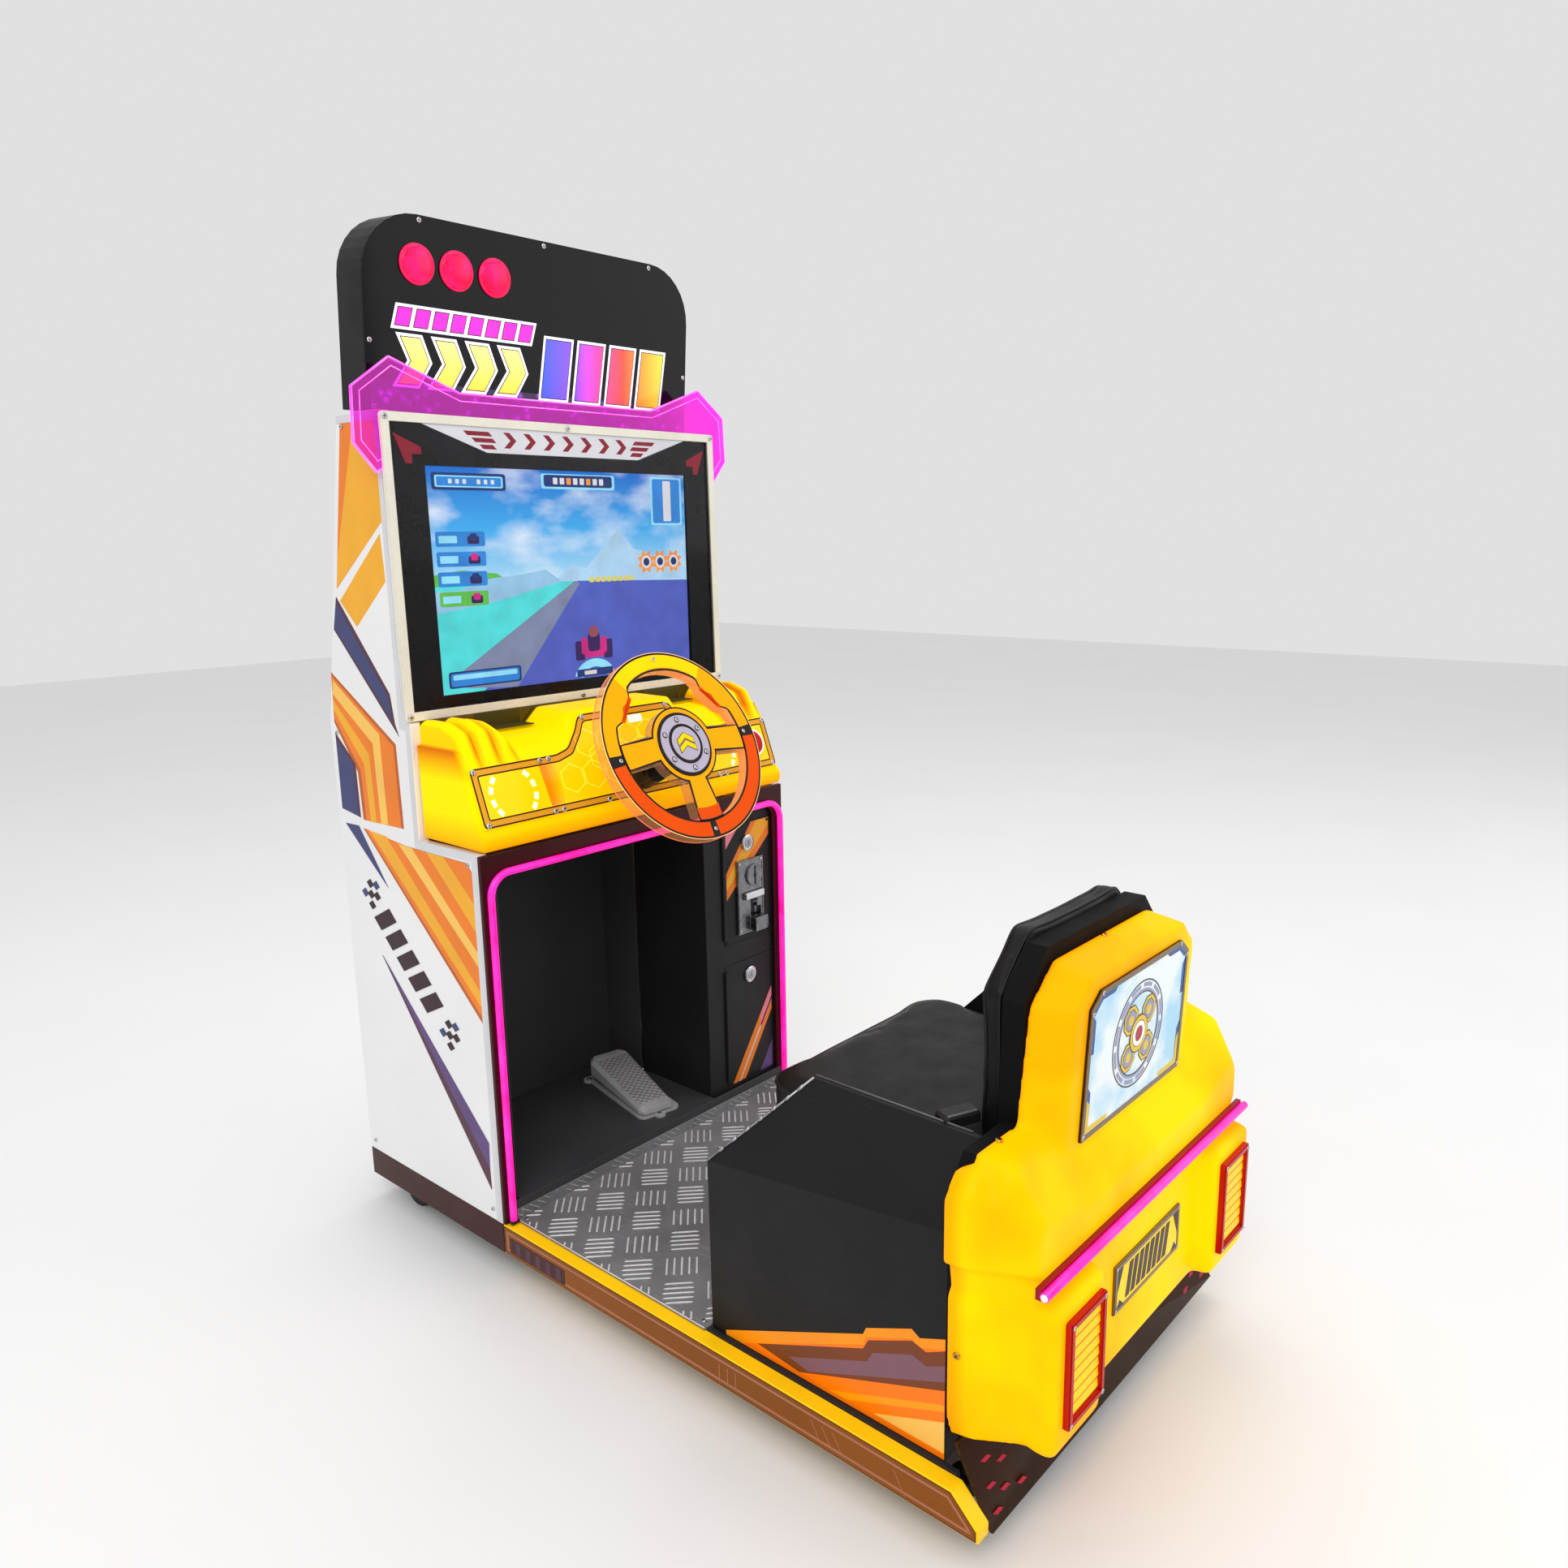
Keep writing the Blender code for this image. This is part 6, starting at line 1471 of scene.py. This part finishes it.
picture.frame(circle(0.0500, 60, CENTRE), circle(0.0470, 60, CENTRE), 0.003, 0.0036, grey_ring, PANEL)
picture.frame(circle(0.0470, 60, CENTRE), circle(0.0458, 60, CENTRE), 0.003, 0.0037, BLACK_PRINT, PANEL)
for k in range(12):
    picture.prism(
        arc_band(0.0520, 0.0565, 30 * k + 4, 30 * k + 26, CENTRE, 8), 0.003, 0.0036, grey_ring, PANEL
    )
BOSS = (
    (0.0178, BLACK_PRINT), (0.0166, gold_print), (0.0128, BLACK_PRINT), (0.0118, grey_ring),
    (0.0060, gold_print)
)
for k in range(4):
    x, y = polar(0.0300, 90 * k + 45)
    spot = (CENTRE[0] + x, CENTRE[1] + y)
    for level, (radius, finish) in enumerate(BOSS):
        picture.prism(circle(radius, 8, spot, 22.5, 382.5), 0.003, 0.0037 + 0.00005 * level, finish, PANEL)
MEDAL = (
    (0.0215, BLACK_PRINT), (0.0203, gold_print), (0.0150, BLACK_PRINT), (0.0140, WHITE_PRINT),
    (0.0090, RED_PRINT),
)
for level, (radius, finish) in enumerate(MEDAL):
    picture.prism(circle(radius, 36, CENTRE), 0.003, 0.0040 + 0.00005 * level, finish, PANEL)
for x, y in ((0.1135, 0.006), (0.112, 0.140), (0.0935, 0.1575)):
    for side in (-1, 1):
        picture.screw(side * x, y, 0.0040, PANEL, 0.0026)
picture.done("picture_panel")

REAR = axes((0, -0.558, 0), X, Z)
bar = Pile("rear_light_bar_tube", "neon_pink")
channel = plain("light_bar_channel", rgb(140, 8, 30), 0.2, 0.05)
bar.box((-0.2465, 0.2992, 0.0002), (0.2465, 0.3108, 0.0062), channel, REAR)
bar.tube([(x, 0.305, 0.0104) for x in (-0.2475, -0.12, 0, 0.12, 0.2475)], 0.0047, NEON, 18, False, REAR)
bar.tube([(-0.2482, 0.305, 0.0106), (-0.2474, 0.305, 0.0106)], 0.0036, white_lit, 14, False, REAR)
bar.tube([(0.2474, 0.305, 0.0106), (0.2482, 0.305, 0.0106)], 0.0036, white_lit, 14, False, REAR)
bar.done("rear_light_bar")

# The plate's yellow glows: painted light.
plate_yellow = plain("plate_yellow", rgb(255, 204, 0), 0.24, 0.25, Specular_IOR_Level=0.15)
dark_gold = Finish(
    "plate_dark_gold", rgb(104, 82, 30), 0.22, 0.5, Coat_Weight=0.4
).weather(0.12, 20, 700, 0.00003)
plate = Pile("number_plate_face", "number_print")
edge_line = rect(-0.081, 0.189, 0.081, 0.246)
plate.prism(edge_line, 0.0003, 0.0026, dark_gold, REAR, 0.0006)
plate.line(offset(edge_line, 0.001), 0.0045, 0.0024, 0.0034, dark_gold, REAR)
plate.prism(offset(edge_line, 0.0055), 0.0024, 0.0029, plate_yellow, REAR)
for side in (-1, 1):
    for corner in (
        [(0.0755, 0.1945), (0.0755, 0.2405), (0.062, 0.2405), (0.0755, 0.212)],
        [(0.0755, 0.1945), (0.060, 0.1945), (0.069, 0.203)],
    ):
        plate.prism(sided(side, corner), 0.0024, 0.0032, BLACK_PRINT, REAR)
    for z in (0.1925, 0.2425):
        plate.screw(side * 0.0775, z, 0.0033, REAR, 0.0022)
for k in range(4):
    x = -0.056 + 0.0262 * k
    for lean_bar in (0, 1):
        loop = slanted(x + 0.0128 * lean_bar, 0.1985, x + 0.0094 + 0.0128 * lean_bar, 0.2370, 0.009)
        plate.prism(loop, 0.0024, 0.0033, BLACK_PRINT, REAR)
plate.done("number_plate")

red_frame = plain("tail_lamp_frame", rgb(176, 12, 4), 0.16, 0.1)
louvre = plain("tail_lamp_louvre", rgb(255, 200, 0), 0.24, 0.24, Specular_IOR_Level=0.12)
louvre_shade = plain("tail_lamp_louvre_shade", rgb(222, 116, 0), 0.3, 0.08)
POD = axes((0, -0.579, 0), X, Z)
for side, sign_x in SIDES:
    lamp = Pile(f"tail_lamp_{side}_lens", "red_plastic")
    x0, x1 = sorted((sign_x * 0.150, sign_x * 0.2237))
    lens_line = rounded(rect(x0, 0.1537, x1, 0.270), 0.003, 3)
    lamp.line(lens_line, 0.0085, 0.0003, 0.0062, red_frame, POD)
    lamp.line(offset(lens_line, 0.002), 0.0045, 0.006, 0.0074, red_frame, POD)
    lamp.prism(offset(lens_line, 0.008), 0.0003, 0.0030, louvre, POD)
    for k in range(8):
        z = 0.1640 + 0.0121 * k
        ends = [
            [(x, z, 0.003), (x, z + 0.0105, 0.003), (x, z + 0.0015, 0.0039)]
            for x in (x0 + 0.008, x1 - 0.008)
        ]
        lamp.rings(ends, louvre, POD)
        lamp.box((x0 + 0.009, z - 0.0012, 0.003), (x1 - 0.009, z, 0.0034), louvre_shade, POD)
    for x in (x0 + 0.0045, x1 - 0.0045):
        for z in (0.158, 0.2655):
            lamp.screw(x, z, 0.0072, POD, 0.0026)
    lamp.done(f"tail_lamp_{side}")

gold = Finish("gold_screw", rgb(206, 156, 50), 0.25, 1).weather(0.1, 60, 900, 0.00002)
screws = Pile("rear_shell_screws", "chrome")
tree = BVHTree.FromPolygons([v.co for v in shell.data.vertices], [p.vertices for p in shell.data.polygons])
for x, y, z in (
    (-0.004, -0.497, 0.64), (-0.208, -0.497, 0.46), (0.208, -0.497, 0.46), (-0.32, -0.497, 0.219),
    (0.32, -0.497, 0.219)
):
    spot, normal, _, _ = tree.find_nearest(Vector((x, y, z)))
    side_way = normal.orthogonal().normalized()
    screws.screw(0, 0, -0.0002, axes(spot, side_way, normal.cross(side_way), normal), 0.0042, gold)
screws.done()

# ------------------------------------------------ rear face of the tower

BACK = axes((0, 0.5740, 0), -X, Z)
rear = Pile("back_fixings", "bare_steel")
for z in (0.10, 0.30, 0.52, 0.72):
    for side in (-1, 1):
        rear.screw(side * 0.266, z, 0.0001, BACK, 0.0034, STEEL)
rear.done()
vents = Pile("service_door_vents", "white_metal", "service_door")
for k in range(9):
    for side in (-1, 1):
        z = 0.545 + 0.0125 * k
        x = side * 0.085
        ends = []
        for foot, crest in ((x - 0.055, x - 0.053), (x + 0.055, x + 0.053)):
            ends.append([(foot, z, -0.0006), (foot, z + 0.008, -0.0006), (crest, z + 0.006, 0.0030)])
        vents.rings(ends, WHITE_COAT, BACK)
vents.done()
inlet = Pile("power_inlet_face", "black_plastic")
for x, z in ((-0.150, 0.1165), (-0.1445, 0.107), (-0.1555, 0.107)):
    inlet.box((x - 0.001, z - 0.0022, 0.0005), (x + 0.001, z + 0.0022, 0.0052), STEEL, BACK)
inlet.line(
    rounded(rect(-0.1675, 0.0985, -0.1325, 0.1235), 0.004), 0.0018, 0.0050, 0.0058, BLACK_PLASTIC, BACK
)
inlet.done()

# ------------------------------------------------ floor, light and camera

floor_mesh = bpy.data.meshes.new("floor")
floor_mesh.from_pydata([(-9, -9, 0), (9, -9, 0), (9, 9, 0), (-9, 9, 0)], [], [(0, 1, 2, 3)])
floor = placed("floor", floor_mesh)
floor_mesh.materials.append(Finish("studio_floor", rgb(238, 238, 238), 0.6).weather(0.01, 2, 300, 0).made)

world = bpy.data.worlds.new("studio")
bpy.context.scene.world = world
world.use_nodes = True
world.node_tree.nodes["Background"].inputs["Color"].default_value = (1, 1, 1, 1)
world.node_tree.nodes["Background"].inputs["Strength"].default_value = 0.75


def lamp_at(name, place, aim, size, watts):
    light = bpy.data.lights.new(name, "AREA")
    light.shape, light.size, light.energy = "SQUARE", size, watts
    made = placed(name, light)
    made.location = place
    made.rotation_euler = (Vector(aim) - Vector(place)).to_track_quat("-Z", "Y").to_euler()


lamp_at("key", (-2.6, -1.8, 3.4), (0, 0, 0.6), 2.2, 60)
lamp_at("fill", (2.8, -2.6, 2.2), (0, 0, 0.6), 2.6, 26)
lamp_at("top", (0.4, 0.6, 3.8), (0, 0, 0.5), 2.4, 30)

CAMERA_PLACE, CAMERA_TURN = (-1.137, -1.048, 1.003), (-49.46, 11.80, -0.77)
azimuth, elevation, roll = (math.radians(angle) for angle in CAMERA_TURN)
level = math.cos(elevation)
back = Vector((math.sin(azimuth) * level, -math.cos(azimuth) * level, math.sin(elevation)))
right = Vector((math.cos(azimuth), math.sin(azimuth), 0))
up = right.cross(-back)
across = right * math.cos(roll) + up * math.sin(roll)
above = up * math.cos(roll) - right * math.sin(roll)
lens = bpy.data.cameras.new("camera")
lens.sensor_width, lens.lens, lens.shift_x = 36, 27.4, -0.015
camera = placed("camera", lens)
camera.matrix_world = axes(CAMERA_PLACE, across, above, back)
bpy.context.scene.camera = camera
bpy.context.scene.view_settings.view_transform = "Standard"
